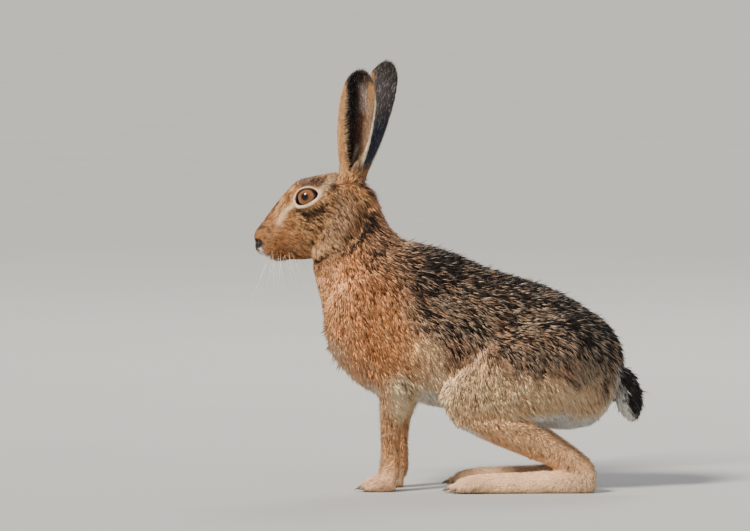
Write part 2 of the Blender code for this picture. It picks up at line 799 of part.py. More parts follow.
def make_head():
    """The head, with sockets for the eyes and the ears, parted from a finer fused copy."""
    pieces = head_pieces() + [spine_loft("neck", TRUNK[:6], 24)]
    head = fused("head_whole", pieces, HEAD_VOXEL, 30, head_softness)
    groove_face(head)
    combined(head, [head_cut()])
    head = parted(head, {"head": (-189, 24, 248)})["head"]
    thinned(head, HEAD_TRIANGLES)
    cutters = []
    for side in (1, -1):
        cutters += [eye_ball("eye_socket", side, EYE_RADIUS + GAP), lid_opening(side), ear_socket(side)]
    combined(head, cutters)
    return largest(head)


def centre(objects):
    """Moves the whole hare so that its bounding box is centred over the origin and stands on Z = 0."""
    corners = np.array([vertex.co for obj in objects for vertex in obj.data.vertices])
    low, high = corners.min(axis=0), corners.max(axis=0)
    move = Matrix.Translation((-(low[0] + high[0]) / 2, -(low[1] + high[1]) / 2, -low[2]))
    for obj in objects:
        obj.data.transform(move)


def painted(obj, finish):
    """Gives an object its material and smooth shading."""
    colour, roughness = finish
    material = bpy.data.materials.new(obj.name)
    material.use_nodes = True
    shader = material.node_tree.nodes["Principled BSDF"]
    shader.inputs["Base Color"].default_value = (*colour, 1)
    shader.inputs["Roughness"].default_value = roughness
    obj.data.materials.clear()
    obj.data.materials.append(material)
    obj.data.shade_smooth()


def main():
    for obj in list(bpy.data.objects):
        bpy.data.objects.remove(obj)
    parts = make_body()
    parts["head"] = make_head()
    parts["tail"] = limb("tail", TAIL, 1, 13, sides=18)
    for side, word in ((1, "right"), (-1, "left")):
        parts[f"ear_{word}"] = make_ear(f"ear_{word}", side)
        parts[f"eye_{word}"] = eye_ball(f"eye_{word}", side, EYE_RADIUS)
    centre(parts.values())
    hare = bpy.data.collections.new("brown_hare")
    bpy.context.scene.collection.children.link(hare)
    finishes = {"eye": EYE_AMBER, "ear": EAR_COAT, "tail": TAIL_COAT}
    for name, obj in parts.items():
        obj = largest(obj)
        obj.name = name
        for holder in list(obj.users_collection):
            holder.objects.unlink(obj)
        hare.objects.link(obj)
        painted(obj, finishes.get(name.split("_")[0], COAT))


main()
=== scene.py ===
"""A brown hare sitting up in its grizzled summer coat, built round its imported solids.

Blender 4.5. Metres, +Z up. The hare faces -X, its left side is towards -Y and the camera.
"""

import math

import bmesh
import bpy
import numpy as np
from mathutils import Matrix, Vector
from mathutils.bvhtree import BVHTree


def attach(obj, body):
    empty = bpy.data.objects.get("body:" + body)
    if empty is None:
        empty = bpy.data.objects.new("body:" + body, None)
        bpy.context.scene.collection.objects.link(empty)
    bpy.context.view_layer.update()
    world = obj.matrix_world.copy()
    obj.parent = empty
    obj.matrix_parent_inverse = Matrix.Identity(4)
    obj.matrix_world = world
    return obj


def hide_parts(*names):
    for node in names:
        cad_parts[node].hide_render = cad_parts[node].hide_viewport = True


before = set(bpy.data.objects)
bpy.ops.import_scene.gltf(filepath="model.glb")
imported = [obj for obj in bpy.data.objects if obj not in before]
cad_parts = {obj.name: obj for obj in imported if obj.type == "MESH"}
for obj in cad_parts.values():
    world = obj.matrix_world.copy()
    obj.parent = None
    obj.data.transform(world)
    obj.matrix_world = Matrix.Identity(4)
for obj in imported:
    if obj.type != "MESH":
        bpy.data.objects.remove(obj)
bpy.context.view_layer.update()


# The camera stands low, level with the hare's chest and eight metres off, with a long lens. The picture's
# middle looks at a point on the hare's middle plane, a little ahead of its shoulder.
MM = 0.001
VIEW_POINT = np.array((-72.2, 0.0, 224.5)) * MM
VIEW_DISTANCE = 8.0
VIEW_ELEVATION = math.radians(3.0)
VIEW_WIDTH = 0.750
SENSOR_WIDTH = 36.0


def placed(name, data, place=(0, 0, 0), aim=None):
    """An object in the scene, which looks from its place at a point where one is given."""
    obj = bpy.data.objects.new(name, data)
    obj.location = place
    if aim is not None:
        obj.rotation_euler = (Vector(aim) - Vector(place)).to_track_quat("-Z", "Y").to_euler()
    bpy.context.scene.collection.objects.link(obj)
    return obj


lens = bpy.data.cameras.new("long lens")
lens.sensor_width = SENSOR_WIDTH
lens.lens = SENSOR_WIDTH * VIEW_DISTANCE / VIEW_WIDTH
lens.clip_end = 60.0
backwards = Vector((0, -math.cos(VIEW_ELEVATION), math.sin(VIEW_ELEVATION)))
camera = placed("camera", lens, Vector(VIEW_POINT) + VIEW_DISTANCE * backwards)
camera.rotation_euler = (math.pi / 2 - VIEW_ELEVATION, 0, 0)
bpy.context.scene.camera = camera


# The studio floor is a wide pale sheet of painted board, with a faint unevenness. A soft high key light
# comes from the upper left front, weaker ones from the right and from behind, and the surroundings are pale.
FLOOR_TONE = (0.39, 0.39, 0.38)
FLOOR_HALF = 60.0
KEY_FROM = (-1.9, -2.2, 2.3)
KEY_STRENGTH = 7.4
KEY_SOFTNESS = math.radians(14)
KEY_TINT = (1.0, 0.93, 0.82)
LAMPS = (
    ("fill lamp", (2.6, -2.2, 1.4), 2.4, 22.0, (0.88, 0.93, 1.0)),
    ("rim lamp", (0.4, 2.6, 2.6), 1.4, 60.0, (1.0, 0.96, 0.90)),
)
SKY_TONE = (0.80, 0.85, 0.92)
SKY_STRENGTH = 0.50


def link(nodes, *wires):
    """Joins nodes; each wire is given as a node, its output, a node and its input."""
    for a, output, b, entry in wires:
        nodes.id_data.links.new(a.outputs[output], b.inputs[entry])


def filled(node, sockets):
    """The node with constants on its sockets, whose names may have underscores for spaces."""
    for socket, value in sockets.items():
        node.inputs[socket.replace("_", " ")].default_value = value
    return node


def new_node(nodes, kind, **sockets):
    return filled(nodes.new("ShaderNode" + kind), sockets)


def new_multiply(nodes, factor):
    """A node that multiplies colour A by colour B."""
    node = new_node(nodes, "Mix", Factor=factor)
    node.data_type = "RGBA"
    node.blend_type = "MULTIPLY"
    return node


def new_material(name, roughness, **sockets):
    """A Principled material, its node list and its shader; constants go straight on the shader's sockets."""
    material = bpy.data.materials.new(name)
    material.use_nodes = True
    nodes = material.node_tree.nodes
    return material, nodes, filled(nodes["Principled BSDF"], {"Roughness": roughness, **sockets})


def grain_group():
    """Fine grain for any finish: a colour varied by noise, and a height for a bump."""
    group = bpy.data.node_groups.new("fine grain", "ShaderNodeTree")
    for name, kind, value in (
        ("Colour", "NodeSocketColor", (0.8, 0.8, 0.8, 1)),
        ("Scale", "NodeSocketFloat", 900.0),
        ("Amount", "NodeSocketFloat", 0.2),
    ):
        group.interface.new_socket(name=name, in_out="INPUT", socket_type=kind).default_value = value
    group.interface.new_socket(name="Colour", in_out="OUTPUT", socket_type="NodeSocketColor")
    group.interface.new_socket(name="Height", in_out="OUTPUT", socket_type="NodeSocketFloat")
    nodes = group.nodes
    entry = nodes.new("NodeGroupInput")
    leave = nodes.new("NodeGroupOutput")
    where = new_node(nodes, "TexCoord")
    noise = new_node(nodes, "TexNoise", Detail=4.0)
    spread = new_node(nodes, "MapRange", From_Min=0.3, From_Max=0.7)
    ends = []
    for operation in ("SUBTRACT", "ADD"):
        end = new_node(nodes, "Math")
        end.operation = operation
        end.inputs[0].default_value = 1.0
        ends.append(end)
    darker = new_multiply(nodes, 1.0)
    link(
        nodes, (where, "Object", noise, "Vector"), (entry, "Scale", noise, "Scale"),
        (noise, "Fac", spread, "Value"), (entry, "Amount", ends[0], 1), (entry, "Amount", ends[1], 1),
        (ends[0], "Value", spread, "To Min"), (ends[1], "Value", spread, "To Max"),
        (entry, "Colour", darker, "A"), (spread, "Result", darker, "B"),
        (darker, "Result", leave, "Colour"), (noise, "Fac", leave, "Height"),
    )
    return group


FINE_GRAIN = grain_group()


def add_grain(nodes, shader, scale, amount, bump, depth):
    """Puts the fine grain into a material; returns its node, whose Colour the caller sets or links."""
    grain = nodes.new("ShaderNodeGroup")
    grain.node_tree = FINE_GRAIN
    filled(grain, {"Scale": scale, "Amount": amount})
    relief = new_node(nodes, "Bump", Strength=bump, Distance=depth)
    link(
        nodes, (grain, "Colour", shader, "Base Color"), (grain, "Height", relief, "Height"),
        (relief, "Normal", shader, "Normal"),
    )
    return grain


def plain_grain(name, colour, roughness, scale, amount, bump, depth, **sockets):
    """A material of one colour broken up by fine grain."""
    material, nodes, shader = new_material(name, roughness, **sockets)
    grain = add_grain(nodes, shader, scale, amount, bump, depth)
    grain.inputs["Colour"].default_value = (*colour, 1)
    return material


bpy.ops.mesh.primitive_grid_add(x_subdivisions=8, y_subdivisions=8, size=2 * FLOOR_HALF)
floor = bpy.context.object
floor.name = "floor"
floor.data.materials.append(plain_grain("painted board", FLOOR_TONE, 0.9, 3.0, 0.02, 0.05, 0.002))
sun = bpy.data.lights.new("key light", "SUN")
sun.energy = KEY_STRENGTH
sun.angle = KEY_SOFTNESS
sun.color = KEY_TINT
placed("key light", sun, KEY_FROM, (0, 0, 0))
for name, place, size, watts, tint in LAMPS:
    lamp = bpy.data.lights.new(name, "AREA")
    lamp.shape = "DISK"
    lamp.size = size
    lamp.energy = watts
    lamp.color = tint
    placed(name, lamp, place, VIEW_POINT)
sky = bpy.data.worlds.new("pale studio")
sky.use_nodes = True
sky.node_tree.nodes["Background"].inputs["Color"].default_value = (*SKY_TONE, 1)
sky.node_tree.nodes["Background"].inputs["Strength"].default_value = SKY_STRENGTH
bpy.context.scene.world = sky


# The hide is one skin over head, ears, neck, trunk, tail, legs and feet. It lies under the coat's tips by
# the coat's depth: hardly at all on ears, nose and feet, and by several millimetres on the body.
SIDES = (("left", -1), ("right", 1))
PAIRED = ("ear", "foreleg", "forefoot", "hindleg", "hindfoot")
FLESH = ("head", "neck", "torso", "tail", *(f"{part}_{word}" for part in PAIRED for word, _ in SIDES))
SKIN_VOXEL = 1.3
SKIN_TRIANGLES = 118_000
SEAM_OVERLAP = 0.35
SKIN_ROUNDS = (3, 2)
FINE_HEAD_AHEAD_OF = -128.0
FINE_HEAD_BELOW = 318.0
NOSE_TIP = np.array((-193.0, 24.0, 248.0))
EAR_FOOT = 309.0

# The head is turned a little to its right about the top of the neck
HEAD_PIVOT = np.array((-89.2, 0.0))
HEAD_TURN = math.radians(13)

# The eye's ball, and the opening between the lids: half its length, its height above and below the corners
EYE_CENTRE = np.array((-46.4, 16.4, 293.0))
EYE_RADIUS = 12.2
EYE_FORWARD = math.radians(8)
EYE_UP = math.radians(5)
EYE_SLANT = math.radians(23)
LID_LEVEL = -1.6
LID_INNER = (11.5, 8.6, 5.0)
LID_OUTER = (14.1, 11.6, 7.6)

# Folds pressed into the hide, in the straight head's own side view, as lines of x and z from the pivot
MOUTH_LINE = ((-100.5, 238.5), (-96.5, 234.6), (-90, 232.6), (-81, 232.4), (-73, 235))
JAW_FOLD = ((-39, 228), (-24, 236), (-10, 244), (0, 253), (7.5, 263.5), (12, 275), (13, 286))
NOSTRIL = ((-105.6, 4.6, 247.2), (-101.4, 7.8, 248.6))
MUZZLE_FOLD = ((-101, 262), (-95, 263), (-89, 260), (-85, 255))


def blend(a, b, x):
    """0 below a, 1 above b, smooth between."""
    t = np.clip((x - a) / (b - a), 0, 1)
    return t * t * (3 - 2 * t)


def unit(ways):
    """Directions at a length of 1."""
    return ways / np.linalg.norm(ways, axis=-1, keepdims=True)


def line_distance(points, line):
    """How far each point lies from a polyline of as many dimensions."""
    line = np.asarray(line, float)
    best = np.full(len(points), np.inf)
    for a, b in zip(line, line[1:]):
        t = np.clip((points - a) @ (b - a) / ((b - a) @ (b - a)), 0, 1)
        best = np.minimum(best, np.linalg.norm(points - a - t[:, None] * (b - a), axis=1))
    return best


def near(points, line, reach):
    """A soft mask round a polyline: 1 on it, fading out over the reach."""
    return np.exp(-((line_distance(points, line) / reach) ** 2))


def straight(points):
    """Points in millimetres as if the head faced straight ahead, counted from its pivot."""
    c, s = math.cos(HEAD_TURN), math.sin(HEAD_TURN)
    x, y = points[:, 0] - HEAD_PIVOT[0], points[:, 1] - HEAD_PIVOT[1]
    return np.stack([c * x - s * y, s * x + c * y, points[:, 2]], axis=1)


def bent(points):
    """Points of the straight head, counted from its pivot, moved to where the turned head has them."""
    points = np.asarray(points, float)
    c, s = math.cos(HEAD_TURN), math.sin(HEAD_TURN)
    x, y, z = points[..., 0], points[..., 1], points[..., 2]
    return np.stack([HEAD_PIVOT[0] + c * x + s * y, HEAD_PIVOT[1] - s * x + c * y, z], axis=-1)


def turned(ways):
    """Directions on the straight head, as the turned head has them."""
    return bent(ways) - bent(np.zeros(3))


def mirrored(own):
    """Points of the straight head, all brought to its right side."""
    return np.stack([own[:, 0], np.abs(own[:, 1]), own[:, 2]], axis=1)


def eye_axes(side):
    """Outward, nose-ward and upward axes of an eye on the straight head, slanting down to the nose."""
    level = np.array((-math.sin(EYE_FORWARD), side * math.cos(EYE_FORWARD), 0))
    out = level * math.cos(EYE_UP) + np.array((0, 0, math.sin(EYE_UP)))
    flat = np.cross(out, (0, 0, 1))
    flat = -unit(flat) * np.sign(flat[0])
    rise = unit(np.array((0, 0, 1)) - out * out[2])
    c, s = math.cos(EYE_SLANT), math.sin(EYE_SLANT)
    return out, flat * c - rise * s, rise * c + flat * s


def eye_centre(side):
    return EYE_CENTRE * (1, side, 1)


def lid_place(own):
    """Distance from the eye's middle, where 1 is the lids' outer edge, then height over it, then radius."""
    out, long, short = eye_axes(1)
    from_eye = mirrored(own) - EYE_CENTRE
    along, off = from_eye @ long, from_eye @ short
    tall = np.where(off > LID_LEVEL, LID_OUTER[1], LID_OUTER[2])
    from_middle = np.hypot(along / LID_OUTER[0], (off - LID_LEVEL) / tall)
    return from_middle, from_eye @ out, np.hypot(along, off)


def mesh_points(mesh, field="co"):
    flat = np.empty(len(mesh.vertices) * 3)
    mesh.vertices.foreach_get(field, flat)
    return flat.reshape(-1, 3)


def mesh_triangles(mesh):
    mesh.calc_loop_triangles()
    flat = np.empty(len(mesh.loop_triangles) * 3, int)
    mesh.loop_triangles.foreach_get("vertices", flat)
    return flat.reshape(-1, 3)


def move_points(mesh, points):
    mesh.vertices.foreach_set("co", (points * MM).ravel())


def mesh_from(name, points, triangles, colours=None, places=None):
    """An object from points in millimetres and triangles, with each point's colour and bake place."""
    mesh = bpy.data.meshes.new(name)
    mesh.vertices.add(len(points))
    move_points(mesh, points)
    mesh.loops.add(triangles.size)
    mesh.loops.foreach_set("vertex_index", triangles.ravel().astype(np.int32))
    mesh.polygons.add(len(triangles))
    mesh.polygons.foreach_set("loop_start", np.arange(0, triangles.size, 3, dtype=np.int32))
    mesh.update(calc_edges=True)
    mesh.shade_smooth()
    if colours is not None:
        paint_points(mesh, colours)
    if places is not None:
        chart = mesh.uv_layers.new(name="OFBake")
        chart.data.foreach_set("uv", places[triangles.ravel()].ravel())
    return placed(name, mesh)


def paint_points(mesh, colours):
    """Stores a colour for each point, which the material reads as 'coat colour'."""
    layer = mesh.color_attributes.new("coat colour", "FLOAT_COLOR", "POINT")
    flat = np.ones((len(colours), 4))
    flat[:, :3] = colours
    layer.data.foreach_set("color", flat.ravel())


def applied(obj):
    """The object with its modifiers made part of its mesh."""
    graph = bpy.context.evaluated_depsgraph_get()
    mesh = bpy.data.meshes.new_from_object(obj.evaluated_get(graph))
    obj.modifiers.clear()
    obj.data = mesh
    return obj


def coat_depth(points):
    """How far the skin lies under the coat's tips, in millimetres."""
    from_nose = np.linalg.norm(points - NOSE_TIP, axis=1)
    depth = np.interp(from_nose, (0, 30, 80, 120, 165), (0.5, 0.8, 1.4, 2.4, 4.6))
    low = np.interp(points[:, 2], (0, 25, 60, 95, 130), (0.7, 0.9, 1.3, 3.2, 5.0))
    depth = np.minimum(depth, low)
    from_eye = np.linalg.norm(mirrored(straight(points)) - EYE_CENTRE, axis=1)
    depth *= blend(15.0, 23, from_eye)
    return depth * (1 - 0.96 * blend(EAR_FOOT - 4, EAR_FOOT + 16, points[:, 2]))


def grown_shells(names, by):
    """The nodes' meshes as one set of points and triangles, each pushed outwards so that they overlap."""
    points, triangles, count = [], [], 0
    for name in names:
        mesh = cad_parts[name].data.copy()
        bm = bmesh.new()
        bm.from_mesh(mesh)
        bmesh.ops.remove_doubles(bm, verts=bm.verts, dist=1e-6)
        bm.normal_update()
        bm.to_mesh(mesh)
        bm.free()
        own = mesh_points(mesh) / MM + by * mesh_points(mesh, "normal")
        points.append(own)
        triangles.append(mesh_triangles(mesh) + count)
        count += len(own)
        bpy.data.meshes.remove(mesh)
    return np.vstack(points), np.vstack(triangles)


def smoothed(obj, rounds):
    """Rubs the surface down a little."""
    rub = obj.modifiers.new("soften", "SMOOTH")
    rub.factor = 0.5
    rub.iterations = rounds
    applied(obj)


def refined(obj):
    """Splits the triangles of the face in four, for its finer folds."""
    bm = bmesh.new()
    bm.from_mesh(obj.data)
    edges = [
        edge for edge in bm.edges
        if all(v.co.x < FINE_HEAD_AHEAD_OF * MM and v.co.z < FINE_HEAD_BELOW * MM for v in edge.verts)
    ]
    bmesh.ops.subdivide_edges(bm, edges=edges, cuts=1, use_grid_fill=True)
    bmesh.ops.triangulate(bm, faces=bm.faces)
    bm.to_mesh(obj.data)
    bm.free()


def press_folds(obj):
    """Lays the skin under the coat and presses in the mouth, lips, nostrils, jaw and muzzle folds."""
    mesh = obj.data
    points = mesh_points(mesh) / MM
    normals = mesh_points(mesh, "normal")
    own = straight(points)
    side = own[:, [0, 2]]
    outer = blend(4, 10, np.abs(own[:, 1]))
    push = coat_depth(points)
    front = blend(-60, -70, own[:, 0])
    push += 1.3 * near(side, MOUTH_LINE, 1.3) * front
    push += 4.4 * near(side, JAW_FOLD, 4.0) * outer
    push += 0.9 * near(side, MUZZLE_FOLD, 2.2) * outer
    push += 2.0 * near(mirrored(own), NOSTRIL, 1.9)
    cleft = (own[:, 2] < 246) & (own[:, 2] > 232) & (own[:, 0] < -92)
    push += 1.0 * np.exp(-((own[:, 1] / 1.0) ** 2)) * cleft
    move_points(mesh, points - normals * push[:, None])
    mesh.update()


skin = mesh_from("hide", *grown_shells(FLESH, SEAM_OVERLAP))
wrap = skin.modifiers.new("one skin", "REMESH")
wrap.mode = "VOXEL"
wrap.voxel_size = SKIN_VOXEL * MM
applied(skin)
smoothed(skin, SKIN_ROUNDS[0])
fewer = skin.modifiers.new("fewer faces", "DECIMATE")
fewer.ratio = SKIN_TRIANGLES / (2 * len(skin.data.polygons))
applied(skin)
refined(skin)
press_folds(skin)
smoothed(skin, SKIN_ROUNDS[1])
skin.data.shade_smooth()
skin_points = mesh_points(skin.data) / MM
skin_normals = mesh_points(skin.data, "normal")
skin_triangles = mesh_triangles(skin.data)


# The coat's colours: black-tipped and tan over the back, rufous on neck and chest, buff on flanks and thighs
# and white below, with a pale ring and stripe at the eye. Hairs are banded, so each tuft has three colours.
def paint(red, green, blue):
    """A colour as a chart gives it, 0 to 255, turned into the shader's linear values."""
    value = np.array((red, green, blue)) / 255
    return np.where(value > 0.04045, ((value + 0.055) / 1.055) ** 2.4, value / 12.92)


BLACK_BROWN = paint(30, 23, 21)
SADDLE_TAN = paint(168, 138, 112)
SADDLE_RUST = paint(172, 118, 82)
RUMP_GREY = paint(162, 144, 122)
MANTLE_TAN = paint(190, 138, 98)
MANTLE_DARK = paint(66, 46, 36)
RUFOUS = paint(250, 172, 110)
RUFOUS_DARK = paint(156, 98, 60)
RUST = paint(228, 160, 108)
# Painted highlight: the elbow's pale fur made near white, as if caught by the light
PALE_ELBOW_HIGHLIGHT = paint(255, 234, 194)
THROAT = paint(238, 174, 122)
BUFF = paint(255, 210, 162)
BUFF_DARK = paint(186, 138, 102)
PINK_BUFF = paint(240, 204, 160)
HAUNCH_DARK = paint(146, 118, 96)
CREAM = paint(244, 226, 200)
WHITE = paint(246, 242, 234)
FACE_TAN = paint(228, 168, 108)
FACE_RUST = paint(202, 134, 76)
FACE_DARK = paint(56, 31, 18)
FACE_BLACK = paint(46, 27, 17)
FACE_PALE = paint(246, 208, 160)
JAW_TAN = paint(255, 200, 146)
CHEEK_GREY = paint(218, 172, 134)
CROWN_GREY = paint(110, 88, 76)
LIP_DARK = paint(96, 62, 52)
EAR_TAN = paint(204, 150, 94)
EAR_SHADE = paint(134, 108, 90)
# Painted shade: the ears' grey backs, darkened and blued as if turned away from the light
EAR_SHADE_GREY = paint(64, 58, 62)
EAR_SHADE_BLUE = paint(66, 74, 90)
EAR_PALE = paint(150, 140, 134)
EAR_RED = paint(118, 74, 58)
EAR_BLACK = paint(20, 15, 13)
LEG_RUST = paint(232, 176, 124)

# Each ear's root and lean, its width by height, and the front band's edge on a scale of -1 to 1 across it
EAR_ROOT = np.array((-5.8, 13.0, 311.5))
EAR_BACK = math.radians(8.9)
EAR_OUT = math.radians(10.5)
EAR_TWIST = math.radians(10)
RIGHT_EAR_BACK = math.radians(5.5)
RIGHT_EAR_STRETCH = 1.085
EAR_HEIGHTS = (0, 15, 28, 47, 66, 80, 94, 102, 107.5, 111.5)
EAR_WIDTHS = (23.5, 23.5, 29, 34.5, 36.5, 36, 32, 26.5, 19, 9)
EAR_BAND_HEIGHTS = (10, 30, 60, 85, 100)
EAR_BAND_EDGE = (-0.14, -0.42, -0.60, -0.70, -0.9)

# The jaw's edge, above which the face's markings hold: x from the head's pivot, and height
JAW_EDGE = ((-60, -39, -24, -10, 0, 7.5, 12, 17), (221, 227, 235, 243, 252, 262, 274, 300))


def cell_noise(points, size, seed):
    """Smooth noise from 0 to 1 in space, with features of the given size in millimetres."""
    scaled = points / size
    base = np.floor(scaled).astype(np.int64)
    t = scaled - base
    t = t * t * (3 - 2 * t)
    total = np.zeros(len(points))
    for corner in range(8):
        step = np.array([(corner >> k) & 1 for k in range(3)])
        cell = base + step
        key = cell[:, 0] * 73856093 ^ cell[:, 1] * 19349663 ^ cell[:, 2] * 83492791 ^ (seed * 2654435761)
        key = (key ^ (key >> 13)) * 1274126177
        value = ((key ^ (key >> 16)) & 0xFFFF) / 65535
        total += value * np.prod(np.where(step == 1, t, 1 - t), axis=1)
    return total


def ear_axes(side):
    """Upward, rearward and outward axes of an ear on the straight head."""
    back = EAR_BACK + (RIGHT_EAR_BACK if side > 0 else 0)
    up = Vector((math.tan(back), side * math.tan(EAR_OUT), 1)).normalized()
    facing = Vector((math.sin(EAR_TWIST), side * math.cos(EAR_TWIST), 0))
    outward = (facing - up * facing.dot(up)).normalized()
    rear = up.cross(outward)
    return np.array(up), np.array(rear if rear.x > 0 else -rear), np.array(outward)


def ear_place(points):
    """Each point's height up its ear, and its place from the front edge at -1 to the rear edge at 1."""
    own = straight(points)
    place = np.zeros((len(points), 3))
    for side in (-1, 1):
        pick = own[:, 1] * side >= 0
        place[pick] = (own[pick] - EAR_ROOT * (1, side, 1)) @ np.stack(ear_axes(side), axis=1)
        if side > 0:
            place[pick, 0] /= RIGHT_EAR_STRETCH
    height, across, _ = place.T
    return height, across / np.interp(height, EAR_HEIGHTS, EAR_WIDTHS) * 2


def mix(a, b, t):
    """Colours a turned towards b by t, where t is a number for each point."""
    return a + (b - a) * np.asarray(t)[:, None]


class Fur:
    """The light and the dark hairs' colours, and the share of dark ones, at each of a set of points."""

    def __init__(self, light, dark, share):
        self.light = light
        self.dark = dark
        self.share = share

    def mark(self, mask, light=None, by=1.0, dark=None, dark_by=1.0, more=0.0, less=0.0):
        """Lays a mark on: hairs turn towards its colours, the share shrinks by less and rises by more."""
        if light is not None:
            self.light = mix(self.light, light, by * mask)
        if dark is not None:
            self.dark = mix(self.dark, dark, dark_by * mask)
        self.share = self.share * (1 - less * mask) + more * mask


def body_markings(points, normals):
    """The fur on neck, trunk and limbs."""
    side = points[:, [0, 2]]
    x, z = points[:, 0], points[:, 2]
    out = np.abs(points[:, 1])
    fur = Fur(RUFOUS, RUFOUS_DARK, 0.26)
    fur.mark(near(side, ((-122, 222), (-112, 200)), 24), THROAT)
    fur.mark(blend(-62, -8, x), BUFF)
    fur.mark(blend(-70, 0, x), dark=BUFF_DARK)
    fur.mark(blend(-62, -20, x), more=-0.12)
    # The pale crest, the elbow's pale fur brightened as a painted highlight and the lower flank lightened as
    # painted light, with a rusty band between them
    pale_elbow_highlight = near(side, ((-52, 110), (-45, 86)), 15)
    fur.mark(near(side, ((-112, 150), (-96, 113), (-78, 98)), 13), CREAM, 0.40, less=0.5)
    fur.mark(pale_elbow_highlight, less=0.85)
    # Painted light: the lower flank, which turns down away from the lamp, is lightened with cream
    fur.mark(near(side, ((-32, 106), (-6, 120)), 16), CREAM, 0.45)
    fur.mark(near(side, ((-96, 146), (-76, 118), (-62, 96)), 12), RUST, 0.45)
    # On its left side a painted shadow in the gap behind the elbow, and two pale ruffled patches
    left = points[:, 1] < 0
    gap = near(side, ((-53, 127), (-46, 112), (-35, 92)), 2.4) * left
    ruffle = near(side, ((-84, 134), (-79, 132)), 3.2) + near(side, ((-27, 152), (-13, 149)), 3.6)
    fur.mark(gap, RUFOUS_DARK, 0.5, MANTLE_DARK, 0.5, more=0.3)
    fur.mark(ruffle * left, PINK_BUFF, 0.6, less=0.8)
    # The mantle over the neck and the shoulders' top is grizzled brown
    mantle = near(side, ((-76, 268), (-66, 240), (-48, 226), (-24, 214)), 25) * blend(-108, -84, x)
    fur.mark(mantle, MANTLE_TAN, dark=MANTLE_DARK, more=0.32)
    # The saddle ends along a line from the nape over the flank to the thigh
    edge_z = np.interp(x, (-68, -48, -18, 2, 52, 112, 152), (232, 192, 154, 130, 124, 112, 98))
    ragged = 30 * (cell_noise(points, 17, 3) - 0.5) + 16 * (cell_noise(points, 6, 5) - 0.5)
    saddle = blend(-20, 22, z + ragged - edge_z) * blend(-66, -32, x + 0.6 * ragged)
    tan = mix(SADDLE_TAN, SADDLE_RUST, 0.6 * blend(0.50, 0.72, cell_noise(points, 9, 8)))
    ridge = near(side, ((-20, 232), (30, 216), (80, 199), (125, 176), (160, 146)), 22)
    uneven = cell_noise(points, 13, 9) - 0.5
    grizzle = 0.62 + 0.26 * ridge - 0.28 * blend(170, 128, z) + 0.16 * uneven
    fur.mark(saddle, tan, dark=BLACK_BROWN, more=grizzle, less=1.0)
    fur.mark(blend(95, 140, x + 0.3 * (z - 150)) * saddle, RUMP_GREY, 0.6, more=0.04)
    # The thigh below the saddle is pinkish buff with brown ticks
    thigh = blend(-14, 12, x) * blend(140, 112, z) * (1 - saddle)
    fur.mark(thigh, PINK_BUFF, dark=HAUNCH_DARK)
    # White below and between the legs
    belly = blend(-0.35, -0.75, normals[:, 2]) * blend(-100, -60, x) * blend(50, 66, z)
    inner = blend(26, 14, out) * blend(112, 96, z) * blend(-44, -16, x) * blend(176, 160, x)
    pale = np.maximum(belly * blend(150, 110, z), inner)
    fur.mark(pale, WHITE, less=0.92)
    # Legs are rusty in front, and buff where they turn to the ground
    legs = blend(104, 80, z) * (1 - pale)
    behind = blend(-30, -14, x)
    fur.mark(legs * blend(-14, -30, x), LEG_RUST)
    fur.mark(0.6 * legs * behind, BUFF)
    fur.mark(0.6 * blend(92, 62, z) * behind * (1 - pale), LEG_RUST)
    fur.mark(near(side, ((-26, 97), (-10, 91)), 8), WHITE, 0.5)
    fur.mark(legs, dark=RUFOUS_DARK, dark_by=0.8)
    # Painted highlight on the elbow, laid over the leg colours
    fur.mark(pale_elbow_highlight, PALE_ELBOW_HIGHLIGHT, 0.85)
    fur.mark(blend(30, 12, z), CREAM, 0.35)
    # The tail is black above and behind, white below and at its edges
    tail = blend(162, 170, x) * blend(134, 126, z)
    above = blend(14.5, 11.0, out) * blend(-0.45, 0.0, normals[:, 0] * 0.8 + normals[:, 2] * 0.6)
    fur.mark(tail, WHITE, dark=BLACK_BROWN, more=0.04 + 0.9 * above, less=1.0)
    fur.mark(0.8 * tail * above, BLACK_BROWN)
    return fur


